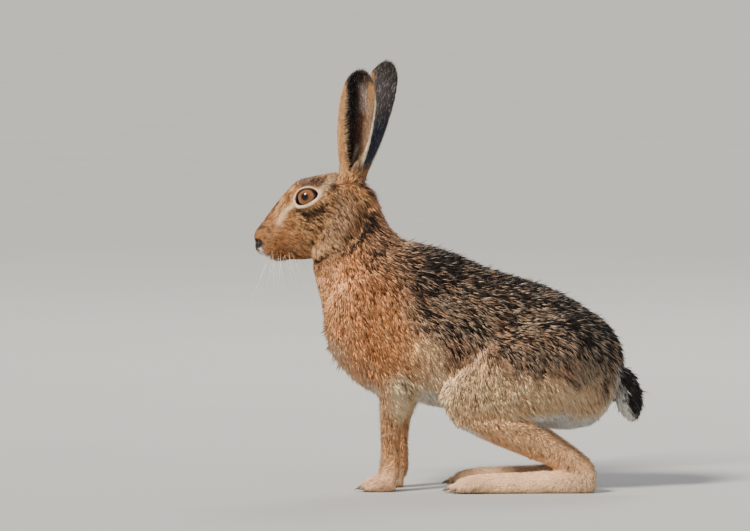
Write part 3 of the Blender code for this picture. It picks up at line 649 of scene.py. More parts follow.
def face_markings(points):
    """The fur on the face."""
    own = straight(points)
    side = own[:, [0, 2]]
    wide = np.abs(own[:, 1])
    fur = Fur(FACE_TAN, FACE_DARK, 0.42)
    fur.mark(blend(0.35, 0.7, cell_noise(points, 6, 11)), FACE_RUST)
    fur.mark(cell_noise(points, 4.0, 12) - 0.5, more=0.24)
    # The cheek, darker ahead and greyer behind, the pale jaw, the dark crown and bridge, and a tawny brow
    fur.mark(near(side, ((-48, 274), (-36, 266), (-28, 258)), 9), more=0.14)
    fur.mark(near(side, ((-20, 258), (-10, 270), (-10, 288)), 12), CHEEK_GREY, 0.8, more=-0.13)
    fur.mark(near(side, ((-52, 240), (-30, 239), (-12, 247)), 7), JAW_TAN, 0.9, more=-0.18)
    crown = blend(300, 306, own[:, 2]) * blend(-66, -54, own[:, 0]) * blend(-14, -26, own[:, 0])
    bridge = blend(11, 6, wide) * blend(250, 262, own[:, 2]) * (1 - crown)
    fur.mark(0.8 * crown + 0.35 * bridge, CROWN_GREY)
    fur.mark(crown, more=0.42)
    fur.mark(bridge, more=0.16)
    fur.mark(near(side, ((-64, 295), (-54, 302), (-40, 303.5)), 2.6), FACE_RUST, 0.8, more=0.06)
    # A dark patch under the eye, and dark spots on the cheek
    fur.mark(near(side, ((-54, 281), (-43, 279), (-32, 283)), 6.0), dark=FACE_BLACK, more=0.52)
    spots = near(side, ((-42, 249), (-38, 243)), 2.4) + near(side, ((-44, 262), (-41, 261)), 2.2)
    fur.mark(spots.clip(0, 1), dark=FACE_BLACK)
    fur.mark(spots, more=0.5)
    # The muzzle: a rusty lip pad, a tan bridge, and a pale line from the eye down beside it
    pad = near(side, ((-90, 250), (-74, 243)), 10)
    fur.mark(pad, FACE_RUST, 0.7, more=0.10)
    fur.mark(blend(0.62, 0.9, cell_noise(points, 1.6, 15)) * pad, more=0.7)
    fur.mark(near(side, MUZZLE_FOLD, 2.0), more=0.35)
    tear = near(side, ((-61, 286), (-70, 280), (-75, 273), (-78, 268)), 4.0)
    stripe = near(side, ((-33, 300), (-26, 309), (-21, 317)), 3.2) * 0.8
    ring = blend(1.15, 1.06, lid_place(own)[0]) * (1 - 0.75 * blend(294, 301, own[:, 2]))
    fur.mark(np.clip(ring + 0.9 * tear + stripe, 0, 1), FACE_PALE, less=0.9)
    fur.mark(ring, CREAM, 0.6)
    fur.mark(stripe, dark=CROWN_GREY)
    # White at the front of the lips and under the chin, dark at the corner of the mouth
    lip = near(side, ((-99, 243), (-96, 235), (-91, 231.5)), 3.2)
    chin = blend(232, 229, own[:, 2]) * blend(-66, -76, own[:, 0]) * blend(7, 4, wide)
    fur.mark(np.clip(lip + chin, 0, 1), WHITE, less=0.9)
    fur.mark(near(side, ((-75, 230.0), (-66, 229.0)), 2.4), LIP_DARK, 0.9)
    return fur


def ear_markings(points, normals):
    """The fur on the ears, whose colours lie in plain fields."""
    up, across = ear_place(points)
    facing = ear_facing(points, normals)
    front = np.interp(up, EAR_BAND_HEIGHTS, EAR_BAND_EDGE)
    inside = blend(0.1, 0.45, facing) * blend(6, 14, up) * blend(-0.05, 0.05, across - front)
    # Outside: a tan front band, duller towards the middle, and behind it the grey back, darkened and blued
    # as painted shade where it faces away from the light
    medial = blend(0.15, -0.1, facing)
    forward = -straight(normals + (*HEAD_PIVOT, 0))[:, 0]
    outside = mix(mix(EAR_TAN, EAR_SHADE, 0.5 * medial), FACE_TAN, blend(26, 4, up))
    ear_back_shade = mix(EAR_SHADE_GREY, EAR_SHADE_BLUE, blend(66, 40, up) * blend(-0.2, 0.3, across))
    outside = mix(outside, ear_back_shade, blend(0.55, 0.15, forward) * blend(4, 18, up) * medial)
    # Inside: a black hollow that narrows below, its black partly the ear's dark hair and partly painted
    # shade deep in the cup, reddish skin, a grey top, a tan rear band and a pale rim
    place = np.stack([across * 18, up], axis=1)
    middle = np.interp(up, (10, 30, 60, 90), (-0.02, -0.10, -0.12, -0.25))
    reddish = blend(0.0, 0.25, across - middle) * blend(24, 38, up)
    hollow = mix(EAR_BLACK, EAR_RED, reddish)
    hollow = mix(hollow, EAR_PALE, 0.85 * near(place, ((2.5, 96), (5.5, 84), (4.5, 70)), 3.6))
    rear_from = np.interp(up, (10, 26, 60, 90), (0.04, 0.20, 0.46, 0.48))
    band = mix(EAR_SHADE, EAR_TAN, 0.25 + 0.6 * blend(68, 94, up))
    hollow = mix(hollow, band, blend(-0.08, 0.10, across - rear_from) * blend(108, 96, up))
    hollow = mix(hollow, CREAM, 0.9 * near(place, ((1.5, 16), (3.0, 22), (4.5, 31)), 2.0))
    rim_from = np.interp(up, (16, 30, 60, 85), (0.79, 0.86, 0.92, 0.955))
    rim = blend(-0.03, 0.04, across - rim_from) * blend(12, 20, up) * blend(92, 80, up)
    rim = rim * blend(-0.3, 0.1, facing)
    light = mix(mix(outside, hollow, inside), CREAM, rim)
    tip = blend(93, 101, up + 5 * (cell_noise(points, 5, 14) - 0.5)) * (1 - 0.25 * inside)
    light = mix(light, EAR_BLACK, tip)
    return Fur(light, (0.30 * light + EAR_BLACK) / 2, 0.40 - 0.32 * rim)


def markings(points, normals):
    """The fur at each point, and the undercoat's colour."""
    own = straight(points)
    fur = body_markings(points, normals)
    on_face = blend(-5, 4, points[:, 2] - np.interp(own[:, 0], *JAW_EDGE))
    on_ears = blend(EAR_FOOT - 4, EAR_FOOT + 8, points[:, 2])
    for mask, part in ((on_face, face_markings(points)), (on_ears, ear_markings(points, normals))):
        fur.mark(mask, part.light, dark=part.dark, more=part.share, less=1.0)
    # Painted shadow behind the jaw: the fur along the jaw's crease is darkened to brown with more black
    # hairs
    behind = near(own[:, [0, 2]], ((-37, 227), (-23, 234), (-8, 241), (3, 250), (11, 262), (15, 278)), 4.6)
    behind *= blend(8, 16, np.abs(own[:, 1]))
    fur.mark(behind, MANTLE_DARK, 0.45, FACE_BLACK, more=0.42)
    under = mix(fur.light, fur.dark, 0.3 + 0.5 * fur.share) * (0.86 - 0.3 * fur.share)[:, None]
    # The nose is brown between the two black nostrils
    nose = near(own[:, [0, 2]], ((-105.5, 243.5), (-103.0, 245.5), (-99.5, 246.0)), 5.0)
    nose = blend(0.3, 0.55, nose * blend(1.2, 2.6, np.abs(own[:, 1])))
    septum = blend(-101, -104, own[:, 0]) * blend(251, 247, own[:, 2]) * blend(236, 239, own[:, 2])
    fur.mark(septum, LIP_DARK, 0.8)
    fur.mark(nose, EAR_BLACK, dark=EAR_BLACK)
    fur.share = fur.share.clip(0, 1)
    return fur, mix(under, EAR_BLACK, nose)


def ear_facing(points, normals):
    """How much each normal looks out of the ear's own opening."""
    own_normals = straight(normals + (*HEAD_PIVOT, 0))
    side = np.where(straight(points)[:, 1] < 0, -1.0, 1.0)
    return own_normals[:, 0] * math.sin(EAR_TWIST) + own_normals[:, 1] * side * math.cos(EAR_TWIST)


fur, under = markings(skin_points, skin_normals)
skin_colours = mix(under, fur.dark, 0.3 * fur.share)


def coat_material(name, roughness, grain_scale, amount, bump, **sockets):
    """Hair or hide, coloured by the markings stored on the mesh and broken up by fine grain."""
    material, nodes, shader = new_material(name, roughness, **sockets)
    stored = nodes.new("ShaderNodeAttribute")
    stored.attribute_name = "coat colour"
    grain = add_grain(nodes, shader, grain_scale, amount, bump, 0.0006)
    link(nodes, (stored, "Color", grain, "Colour"))
    return material


skin.data.materials.clear()
skin.data.materials.append(coat_material("hide", 0.75, 1400.0, 0.28, 0.7, Specular_IOR_Level=0.25))
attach(skin, "root")
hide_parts(*FLESH)


# Each eye is a glossy ball with a black pupil and an amber-brown iris under a clear cornea. It almost fills
# the opening between the lids, whose bare rims are dark, moist skin, thicker above.
IRIS_EDGE = math.radians(47)
PUPIL_EDGE = math.radians(15)
LID_BARE = paint(26, 18, 16)
LID_HAIRED = paint(226, 192, 154)
LID_ROWS = 10
LID_COLUMNS = 120
LID_THICKNESS = 1.1
LID_BASE_UNDER_SKIN = 2.4
LID_OFF_BALL = 0.2
LID_OVER_HIDE = 0.1
HIDE_UNDER_BALL = 1.5
BALL_RIM = 3.0
RAY_FROM = 30.0
EYE_ROWS = 60
EYE_COLUMNS = 72
EYE_PLAY = 0.35
CORNEA_RISE = 0.7
CORNEA_REACH = 0.62
CORNEA_BENDING = 1.33


def grid_triangles(rows, columns, steps):
    """Triangles over rings of points, for so many steps from ring to ring, the last back to the first."""
    row, column = np.divmod(np.arange(steps * columns), columns)
    following = (column + 1) % columns
    here, ahead = row * columns, (row + 1) % rows * columns
    return np.vstack([
        np.stack([here + column, here + following, ahead + following], 1),
        np.stack([here + column, ahead + following, ahead + column], 1),
    ])


def point_out(obj):
    """Turns all faces of a closed object outwards."""
    shape = bmesh.new()
    shape.from_mesh(obj.data)
    bmesh.ops.recalc_face_normals(shape, faces=shape.faces)
    shape.to_mesh(obj.data)
    shape.free()
    obj.data.shade_smooth()


def closed_rings(name, rings):
    """A closed object through rings of points, with a fan at each end."""
    rows, columns = rings.shape[:2]
    points = np.vstack([rings.reshape(-1, 3), rings[0].mean(0), rings[-1].mean(0)])
    k = np.arange(columns)
    following = (k + 1) % columns
    last = (rows - 1) * columns
    first_fan = np.stack([following, k, np.full(columns, rows * columns)], 1)
    last_fan = np.stack([last + k, last + following, np.full(columns, rows * columns + 1)], 1)
    obj = mesh_from(name, points, np.vstack([grid_triangles(rows, columns, rows - 1), first_fan, last_fan]))
    point_out(obj)
    return obj


def eye_material():
    """Pupil, iris and rim by the angle from the eye's axis, under a clear wet coat."""
    material, nodes, shader = new_material(
        "wet eye", 0.3, Specular_IOR_Level=0.1,
        Coat_Weight=1.0, Coat_Roughness=0.03, Coat_IOR=CORNEA_BENDING)
    angle = new_node(nodes, "Attribute")
    angle.attribute_name = "from axis"
    fibres = new_node(nodes, "Attribute")
    fibres.attribute_name = "round axis"
    noise = new_node(nodes, "TexNoise", Scale=26.0, Detail=3.0)
    spread = new_node(nodes, "MapRange", From_Min=0.35, From_Max=0.65, To_Min=0.35, To_Max=1.5)
    streak = new_multiply(nodes, 0.55)
    ramp = new_node(nodes, "ValToRGB")
    pupil, iris = math.degrees(PUPIL_EDGE) / 90, math.degrees(IRIS_EDGE) / 90
    stops = (
        (0.0, (0.001, 0.001, 0.001)),
        (pupil - 0.015, (0.002, 0.001, 0.001)),
        (pupil + 0.02, (0.045, 0.015, 0.006)),
        (pupil + 0.07, (0.15, 0.052, 0.018)),
        (iris - 0.10, (0.20, 0.080, 0.030)),
        (iris - 0.04, (0.12, 0.043, 0.016)),
        (iris + 0.01, (0.010, 0.005, 0.003)),
        (1.0, (0.010, 0.006, 0.005)),
    )
    while len(ramp.color_ramp.elements) < len(stops):
        ramp.color_ramp.elements.new(0.5)
    for element, (place, colour) in zip(ramp.color_ramp.elements, stops):
        element.position = place
        element.color = (*colour, 1)
    link(
        nodes, (fibres, "Vector", noise, "Vector"), (noise, "Fac", spread, "Value"),
        (angle, "Fac", ramp, "Fac"), (ramp, "Color", streak, "A"), (spread, "Result", streak, "B"),
        (streak, "Result", shader, "Base Color"),
    )
    return material


WET_EYE = eye_material()
hide_tree = BVHTree.FromPolygons(skin_points.tolist(), skin_triangles.tolist())
LID_SKIN = coat_material("lid skin", 0.4, 2600.0, 0.3, 0.4)


def eyeball(word, side):
    """The ball; each point keeps its angle from the axis and its place round it, for the iris."""
    out, long, short = eye_axes(side)
    polar = np.linspace(0.02, math.pi - 0.05, EYE_ROWS)[:, None, None]
    turn = np.linspace(0, 2 * math.pi, EYE_COLUMNS, endpoint=False)[None, :, None]
    radius = EYE_RADIUS - EYE_PLAY + CORNEA_RISE * np.exp(-((polar / CORNEA_REACH) ** 2))
    rings = eye_centre(side) + radius * (
        out * np.cos(polar) + (long * np.cos(turn) + short * np.sin(turn)) * np.sin(polar)
    )
    eye = closed_rings(f"eyeball_{word}", bent(rings))
    flat_polar = np.append(np.repeat(polar.ravel(), EYE_COLUMNS), (0, math.pi))
    flat_turn = np.append(np.tile(turn.ravel(), EYE_ROWS), (0, 0))
    spokes = np.stack([np.cos(flat_turn), np.sin(flat_turn), flat_polar * 0.25], 1)
    tag = eye.data.attributes.new("from axis", "FLOAT", "POINT")
    tag.data.foreach_set("value", flat_polar / (math.pi / 2))
    tag = eye.data.attributes.new("round axis", "FLOAT_VECTOR", "POINT")
    tag.data.foreach_set("vector", spokes.ravel())
    eye.data.materials.append(WET_EYE)
    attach(eye, "root")
    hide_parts(f"eye_{word}")


def hide_over(flat, side):
    """How far out the hide lies over points on the eye's own plane, evened out round the ring."""
    out, long, short = eye_axes(side)
    heights = []
    for a, b in flat:
        start = bent(eye_centre(side) + a * long + b * short + RAY_FROM * out)
        _, _, _, gone = hide_tree.ray_cast(Vector(start), Vector(turned(-out)))
        heights.append(RAY_FROM - gone)
    heights = np.array(heights)
    for _ in range(4):
        heights = (np.roll(heights, 1) + 2 * heights + np.roll(heights, -1)) / 4
    return heights


def lids(word, side):
    """The lids' margin, which runs from the ball up to the hide round an almond opening."""
    out, long, short = eye_axes(side)
    around = np.linspace(0, 2 * math.pi, LID_COLUMNS, endpoint=False)
    flats = []
    for (wide, high, low), power in ((LID_INNER, 1.25), (LID_OUTER, 1.0)):
        tall = np.where(np.sin(around) > 0, high, low) * np.abs(np.sin(around)) ** power
        flats.append(np.stack([wide * np.cos(around), LID_LEVEL + np.sign(np.sin(around)) * tall], axis=1))
    surface = hide_over(flats[1], side)
    on_ball = np.sqrt(np.maximum((EYE_RADIUS + LID_OFF_BALL) ** 2 - (flats[0] ** 2).sum(1), 0))
    heights = (np.maximum(on_ball, surface - LID_BASE_UNDER_SKIN), surface + LID_OVER_HIDE)
    inner, outer = (
        eye_centre(side) + flat[:, :1] * long + flat[:, 1:] * short + height[:, None] * out
        for flat, height in zip(flats, heights)
    )
    steps = np.linspace(0, 1, LID_ROWS)[None, :, None]
    above = blend(-0.2, 0.6, np.sin(around))[:, None, None]
    top = inner[:, None] * (1 - steps) + outer[:, None] * steps
    top = top + out * (0.35 + 0.45 * above) * np.sin(math.pi * steps) ** 0.6
    ring = np.concatenate([top, top[:, ::-1] - out * LID_THICKNESS], axis=1)
    points = bent(ring).reshape(-1, 3)
    outwards = np.concatenate([np.linspace(0, 1, LID_ROWS), np.linspace(1, 0, LID_ROWS)])
    bare = 0.30 + 0.26 * above[:, :, 0]
    hairy = blend(bare, bare + 0.22, outwards[None])
    haired = mix(LID_HAIRED, FACE_TAN, np.repeat(0.6 * above[:, 0, 0], 2 * LID_ROWS))
    haired *= 0.55 + 0.65 * cell_noise(points, 0.8, 50)[:, None]
    colours = mix(LID_BARE, haired, hairy.ravel())
    triangles = grid_triangles(LID_COLUMNS, 2 * LID_ROWS, LID_COLUMNS)
    lid = mesh_from(f"lids_{word}", points, triangles, colours)
    point_out(lid)
    lid.data.materials.append(LID_SKIN)
    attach(lid, "root")


for word, side in SIDES:
    eyeball(word, side)
    lids(word, side)

# Under the lids the hide is pressed down out of sight, and dark
own = straight(skin_points)
from_middle, height, radius = lid_place(own)
ball = np.sqrt(np.maximum(EYE_RADIUS**2 - radius**2, BALL_RIM**2)) - HIDE_UNDER_BALL
sink = blend(1.0, 0.88, from_middle) * (height > 0) * np.maximum(height - ball, 0)
outwards = np.where(own[:, 1:2] < 0, eye_axes(-1)[0], eye_axes(1)[0])
skin_points = skin_points - turned(outwards) * sink[:, None]
move_points(skin.data, skin_points)
skin.data.update()
paint_points(skin.data, mix(skin_colours, LID_BARE, blend(1.0, 0.95, from_middle) * (height > 0)))


# The coat is thousands of thin pointed tufts rooted in the skin. Each lies along the coat's own direction,
# arches off the skin and is banded: undercoat at the root, the light band, and a dark or light tip. The lie
# is set at some places of the side view, as x and z in millimetres and a direction, and blended between.
LIE = (
    (-69.2, 275, 0.5, -1.0), (-127.2, 212, 0.15, -1.0), (-97.2, 238, 0.35, -1.0), (-45.2, 244, 0.9, -0.45),
    (-112.2, 160, 0.2, -1.0), (-92.2, 105, 0.5, -0.85), (-69.2, 180, 0.3, -1.0), (-65.2, 130, 0.35, -1.0),
    (-56.2, 60, 0.05, -1.0), (12.8, 228, 1.0, -0.35), (112.8, 190, 1.0, -0.5), (164.8, 140, 0.55, -1.0),
    (2.8, 180, 1.0, -0.35), (-17.2, 140, 0.8, -0.6), (72.8, 165, 1.0, -0.25), (-22.2, 92, 0.9, -0.4),
    (14.8, 125, -0.15, -1.0), (72.8, 118, 0.5, -1.0), (130.8, 118, 0.5, -1.0), (0.8, 85, 0.1, -1.0),
    (57.8, 58, 0.9, -0.6), (172.8, 100, 0.45, -1.0), (72.8, 10, -1.0, 0.0), (-62.2, 6, -1.0, -0.15),
)
LIE_REACH = 26.0
HEAD_LIE = (
    (-167.2, 285, 0.75, 0.65), (-172.2, 255, 0.95, -0.1), (-177.2, 240, 0.9, -0.45),
    (-152.2, 265, 0.95, -0.25), (-127.2, 264, 0.85, -0.5), (-137.2, 280, 0.97, -0.25),
    (-127.2, 242, 0.85, -0.5), (-102.2, 265, 0.5, -0.85), (-119.2, 290, 0.8, -0.6),
    (-115.2, 306, 0.4, -0.9), (-97.2, 308, 0.2, -1.0), (-137.2, 312, 1.0, 0.1),
    (-155.2, 303, 0.75, 0.6), (-147.2, 307, 0.9, 0.4), (-85.2, 285, 0.25, -1.0), (-95.2, 252, 0.5, -0.85),
)
HEAD_LIE_REACH = 9.0

# The tufts by their distance from the nose: length, width, and the skin that each covers; and the ears' own
TUFT_FROM_NOSE = (0, 15, 50, 90, 125, 160)
TUFT_TABLES = (
    (1.6, 2.4, 4.0, 6.0, 10.0, 13.0),
    (0.42, 0.55, 0.66, 0.76, 0.86, 0.92),
    (0.24, 0.32, 0.44, 0.62, 0.84, 0.92),
)
EAR_TUFT = (4.2, 0.55, 1.05)
COAT_SEED = 17
ROOTS_ABOVE = 1.0
ROOT_DEPTH = (0.35, 0.9)
FLOOR_CLEARANCE = 0.1
TUFT_RIDGE = 0.42
TUFT_LIFT = 0.45
TUFT_SCATTER = 0.07
MOST_RISE = 1.9
GUARD_SHARE = 0.07
GUARD_LENGTH = 1.25
GUARD_WIDTH = 0.6
GUARD_RISE = 1.25
PATCH = 0.003
HAIR = coat_material("hair", 0.62, 2200.0, 0.18, 0.0, Specular_IOR_Level=0.35)

# A tuft's faces and its spots on the bake patch, by its corners: two at the foot, its ridge, bow and tip
FINE_FACES = np.array(((0, 1, 3), (1, 2, 3), (2, 0, 3), (0, 2, 1)))
FINE_SPOTS = np.array(((-1, -1), (1, -1), (0, -1), (0, 1)))
BOWED_FACES = np.array(((0, 1, 4), (1, 2, 3), (1, 3, 4), (2, 0, 3), (0, 4, 3), (0, 2, 1)))
BOWED_SPOTS = np.array(((-1, -1), (1, -1), (0, -1), (0, 0), (0, 1)))


def fringe(points, normals):
    """A mask for the combed hairs along the front edge of each ear's hollow."""
    up, across = ear_place(points)
    front = np.interp(up, EAR_BAND_HEIGHTS, EAR_BAND_EDGE)
    along = blend(10, 18, up) * blend(94, 86, up) * (ear_facing(points, normals) > 0.1)
    return blend(-0.22, -0.12, across - front) * blend(0.04, 0.0, across - front) * along


def lie_of_coat(points, normals):
    """The direction in which the hair lies, along the skin."""
    x, z = points[:, 0], points[:, 2]
    flows = []
    for table, reach in ((LIE, LIE_REACH), (HEAD_LIE, HEAD_LIE_REACH)):
        places, given = np.split(np.array(table), 2, axis=1)
        gap = np.linalg.norm(points[:, None, [0, 2]] - places, axis=2)
        weight = 1 / (gap**3 + reach**3)
        flat = unit(weight @ unit(given))
        flows.append(np.stack([flat[:, 0], np.zeros(len(points)), flat[:, 1]], 1))
    head = blend(-62, -74, x - 0.55 * (z - 300)) * blend(205, 232, z)
    flow = flows[0] * (1 - head)[:, None] + flows[1] * head[:, None]
    back = points - (NOSE_TIP + (-9, 2, 0))
    flow += 2.0 * unit(back) * blend(32, 16, np.linalg.norm(back, axis=1))[:, None]
    is_left = straight(points)[:, 1:2] < 0
    ear = blend(EAR_FOOT - 10, EAR_FOOT + 4, z)
    upward, rearward = (np.where(is_left, turned(ear_axes(-1)[k]), turned(ear_axes(1)[k])) for k in (0, 1))
    upward = upward + rearward * (2.2 * fringe(points, normals))[:, None]
    flow = flow * (1 - ear)[:, None] + upward * ear[:, None]
    swirl = 0.5 * (cell_noise(points, 11, 21) - 0.5) + 0.6 * (cell_noise(points, 3.5, 22) - 0.5)
    swirl = swirl * (1 - 0.6 * head)
    from_eye = points - np.where(is_left, bent(eye_centre(-1)), bent(eye_centre(1)))
    flow += 2.2 * unit(from_eye) * blend(19, 14, np.linalg.norm(from_eye, axis=1))[:, None]
    flow = unit(flow - normals * np.sum(flow * normals, axis=1)[:, None])
    return unit(flow + np.cross(normals, flow) * swirl[:, None])


def tuft_sizes(points):
    """Length, width and the skin that one tuft covers, in millimetres and square millimetres."""
    from_nose = np.linalg.norm(points - NOSE_TIP, axis=1)
    low = points[:, 2]
    sizes = [np.interp(from_nose, TUFT_FROM_NOSE, table) for table in TUFT_TABLES]
    sizes[0] = np.minimum(sizes[0], np.interp(low, (0, 25, 70, 100, 130), (3.2, 4.5, 6.5, 11, 13)))
    sizes[1] = np.minimum(sizes[1], np.interp(low, (0, 30, 80, 110), (0.7, 0.75, 0.9, 1.15)))
    ear = blend(EAR_FOOT - 8, EAR_FOOT + 10, low)
    return [size * (1 - ear) + on_ear * ear for size, on_ear in zip(sizes, EAR_TUFT)]


# The tufts' roots are spread over the hide by area, none under the lids or on the soles' flats
rng = np.random.default_rng(COAT_SEED)
corners = skin_points[skin_triangles]
sides = corners[:, 1] - corners[:, 0], corners[:, 2] - corners[:, 0]
areas = 0.5 * np.linalg.norm(np.cross(*sides), axis=1)
centres = corners.mean(axis=1)
from_lids, height, _ = lid_place(straight(centres))
haired = ((from_lids > 1.03) | (height < 0)) & (centres[:, 2] > ROOTS_ABOVE)
expected = areas / tuft_sizes(centres)[2] * haired
total = int(expected.sum())
edges = np.cumsum(expected)
chosen = np.searchsorted(edges, (np.arange(total) + rng.random(total)) * edges[-1] / total)
weights = rng.dirichlet((1, 1, 1), total)
roots = np.einsum("nk,nkd->nd", weights, corners[chosen])
normals = unit(np.einsum("nk,nkd->nd", weights, skin_normals[skin_triangles[chosen]]))
from_nose = np.linalg.norm(roots - NOSE_TIP, axis=1)
ways = lie_of_coat(roots, normals)
lengths, widths, _ = tuft_sizes(roots)
lengths *= rng.uniform(0.7, 1.25, total)
widths *= rng.uniform(0.75, 1.3, total)
from_lids, height, _ = lid_place(straight(roots))
lengths *= 0.26 + 0.74 * blend(1.02, 1.45, from_lids + (height < 0))
combed = fringe(roots, normals)
lengths *= 1 + 0.15 * combed
fur, under = markings(roots, normals)
fur.mark(combed, CREAM, 0.25, less=0.8)


def streaks(size, seed, drawn=1.2):
    """Noise drawn out along the lie of the coat, and ranked so that it runs evenly from 0 to 1."""
    steps = (-1.5, -0.5, 0.5, 1.5)
    total_noise = sum(cell_noise(roots + ways * (step * drawn * size), size, seed) for step in steps)
    ranks = np.empty(total)
    ranks[np.argsort(total_noise)] = np.linspace(0, 1, total)
    return ranks


# Dark and light tufts stand in small clumps, coarser on the face, and their tone varies from one to the next
on_head = blend(150, 110, from_nose)
on_muzzle = blend(85, 55, from_nose)
grain = streaks(1.35, 31, 0.8) * on_muzzle + streaks(1.2, 32) * (1 - on_muzzle)
clumping = 0.54 + 0.20 * on_muzzle
grain = clumping * grain + (1 - clumping) * rng.random(total)
grain = (np.argsort(np.argsort(grain)) + 0.5) / total
is_dark = blend(-0.07, 0.07, fur.share - grain)
shine = blend(0.72, 0.98, grain) * (1 - 0.5 * on_muzzle)
tone = 1 + rng.normal(0, 1, total) * (0.13 + 0.09 * on_head)
tone = tone * (0.86 + 0.30 * grain) * (0.86 + 0.28 * cell_noise(roots, 8, 40))
tone = tone.clip(0.5, 1.6)[:, None]
band = mix(fur.light, fur.dark, is_dark) * tone
dark_tip = np.clip(is_dark + 0.3 * (rng.random(total) < 0.2), 0, 1)
tips = mix(mix(fur.light, CREAM, 0.06 + 0.30 * shine), fur.dark * 0.8, dark_tip) * tone
base = under * tone

# Tufts rise more on the body than on the face, and a few longer, thinner guard hairs stand higher still
rises = np.interp(from_nose, (0, 50, 90, 130, 170), (0.3, 0.4, 0.6, 0.75, 0.8))
rises *= rng.uniform(0.6, 1.3, total)
rises *= 0.7 + 0.6 * grain
guard = (rng.random(total) < GUARD_SHARE) & (from_nose > 95) & (roots[:, 2] > 34)
lengths[guard] *= GUARD_LENGTH
widths[guard] *= GUARD_WIDTH
rises[guard] *= GUARD_RISE
rises *= 1 + 0.4 * blend(-98, -118, roots[:, 0]) * blend(225, 205, roots[:, 2])
rises = np.minimum(rises * (1 + 0.8 * combed), MOST_RISE)
rises *= 1 - 0.45 * blend(EAR_FOOT - 5, EAR_FOOT + 8, roots[:, 2])


def bake_places(root, normal, axis_from, axis_to, on_ear):
    """Each root's place on the skin unwrapped round an axis; an ear's inside lies beside its outside."""
    axis = unit(np.subtract(axis_to, axis_from))
    aside = unit(np.cross(axis, (0, 1, 0)))
    from_axis = root - axis_from
    turn = np.arctan2(from_axis @ np.cross(axis, aside), from_axis @ aside)
    place = np.stack([turn, from_axis @ axis], 1)
    low, high = place.min(0), place.max(0)
    place = 0.02 + 0.96 * (place - low) / (high - low)
    if on_ear:
        place[:, 0] = 0.48 * place[:, 0] + 0.51 * (ear_facing(root, normal) > 0.2)
    return place


def coat_piece(name, pick, axis_from, axis_to, slot, fine):
    """The tufts of one part of the coat, as one mesh of closed, tapered spikes."""
    root, normal, way = roots[pick], normals[pick], ways[pick]
    length, width, rise = (values[pick][:, None] for values in (lengths, widths, rises))
    across = np.cross(normal, way)
    ridge = TUFT_RIDGE * width
    sunk = root - normal * np.minimum(ROOT_DEPTH[0] * length, ROOT_DEPTH[1])
    lift = TUFT_LIFT * rise
    reach = root + way * length * np.sqrt(1 - lift**2) + normal * length * lift
    reach += across * length * rng.normal(0, TUFT_SCATTER, length.shape)
    tuft = [sunk - across * width / 2, sunk + across * width / 2, sunk + normal * ridge]
    if fine:
        faces, spots = FINE_FACES, FINE_SPOTS
        shades = [0.35 * base[pick] + 0.65 * band[pick]] * 3 + [tips[pick]]
    else:
        faces, spots = BOWED_FACES, BOWED_SPOTS
        shades = [0.7 * base[pick] + 0.3 * band[pick]] * 2 + [base[pick], band[pick], tips[pick]]
        tuft.append(root + way * length * 0.5 + normal * (length * 0.27 * rise + 0.7 * ridge))
    points = np.stack([*tuft, reach], 1)
    points[..., 2] = np.maximum(points[..., 2], FLOOR_CLEARANCE)
    triangles = (faces + np.arange(len(root))[:, None, None] * len(spots)).reshape(-1, 3)
    places = bake_places(root, normal, axis_from, axis_to, slot.startswith("ear"))
    places = (places[:, None] + spots * PATCH / 2).reshape(-1, 2)
    colours = np.stack(shades, 1).reshape(-1, 3).clip(0, 1)
    obj = mesh_from(name, points.reshape(-1, 3), triangles, colours, places)
    obj.data.materials.append(HAIR)
    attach(obj, "root")


# The coat is cut into pieces by the part of the body, each with the axis that its skin is unwrapped round
x, y, z = roots.T
is_ear = z > EAR_FOOT + 2
is_head = (x - 0.55 * (z - 300) < -70) & (z > 216) & ~is_ear
is_tail = (x > 164) & (z < 132)
is_foot = z < 31
is_fore = (z < 104) & (x < -26) & ~is_foot
is_shank = (z < 66) & (x > -26) & ~is_foot
is_haunch = (z < 186 - 0.35 * np.abs(x - 90)) & (x > -24) & (np.abs(y) > 24)
is_haunch &= ~(is_shank | is_foot | is_tail)
rest = ~(is_ear | is_head | is_tail | is_foot | is_fore | is_shank | is_haunch)
is_neck = z - 0.82 * x > 299
for word, s in SIDES:
    here = (y >= 0) == (s > 0)
    feet = is_foot & here
    head_here = straight(roots)[:, 1] * s > 0
    parts = (
        ("ear", is_ear & head_here, (-92, s * 15, 300), (-76, s * 32, 420), f"ear_{word}", True),
        ("face", is_head & head_here & (from_nose < 62), (-190, 22, 248), (-90, 0, 275), "head", True),
        ("cheek", is_head & head_here & (from_nose >= 62), (-190, 22, 248), (-90, 0, 275), "head", True),
        ("neck", rest & here & is_neck, (-100, 0, 300), (-80, 0, 200), "neck", False),
        ("shoulder", rest & here & ~is_neck & (x < -20), (-90, 0, 200), (0, 0, 150), "torso", False),
        ("flank", rest & here & ~is_neck & (x >= -20), (-20, 0, 190), (180, 0, 110), "torso", False),
        ("haunch", is_haunch & here, (130, s * 30, 150), (10, s * 40, 80), f"hindleg_{word}", False),
        ("shank", is_shank & here, (20, s * 42, 80), (140, s * 44, 20), f"hindleg_{word}", True),
        ("foreleg", is_fore & here, (-60, s * 29, 110), (-60, s * 28, 20), f"foreleg_{word}", True),
        ("hindfoot", feet & (x > -20), (150, s * 44, 10), (0, s * 48, 8), f"hindfoot_{word}", True),
        ("forefoot", feet & (x <= -20), (-60, s * 28, 30), (-62, s * 28, 0), f"forefoot_{word}", True),
    )
    for part, pick, start, end, slot, fine in parts:
        coat_piece(f"coat_{part}_{word}", pick, start, end, slot, fine)
coat_piece("coat_tail", is_tail, (160, 0, 122), (190, 0, 84), "tail", False)


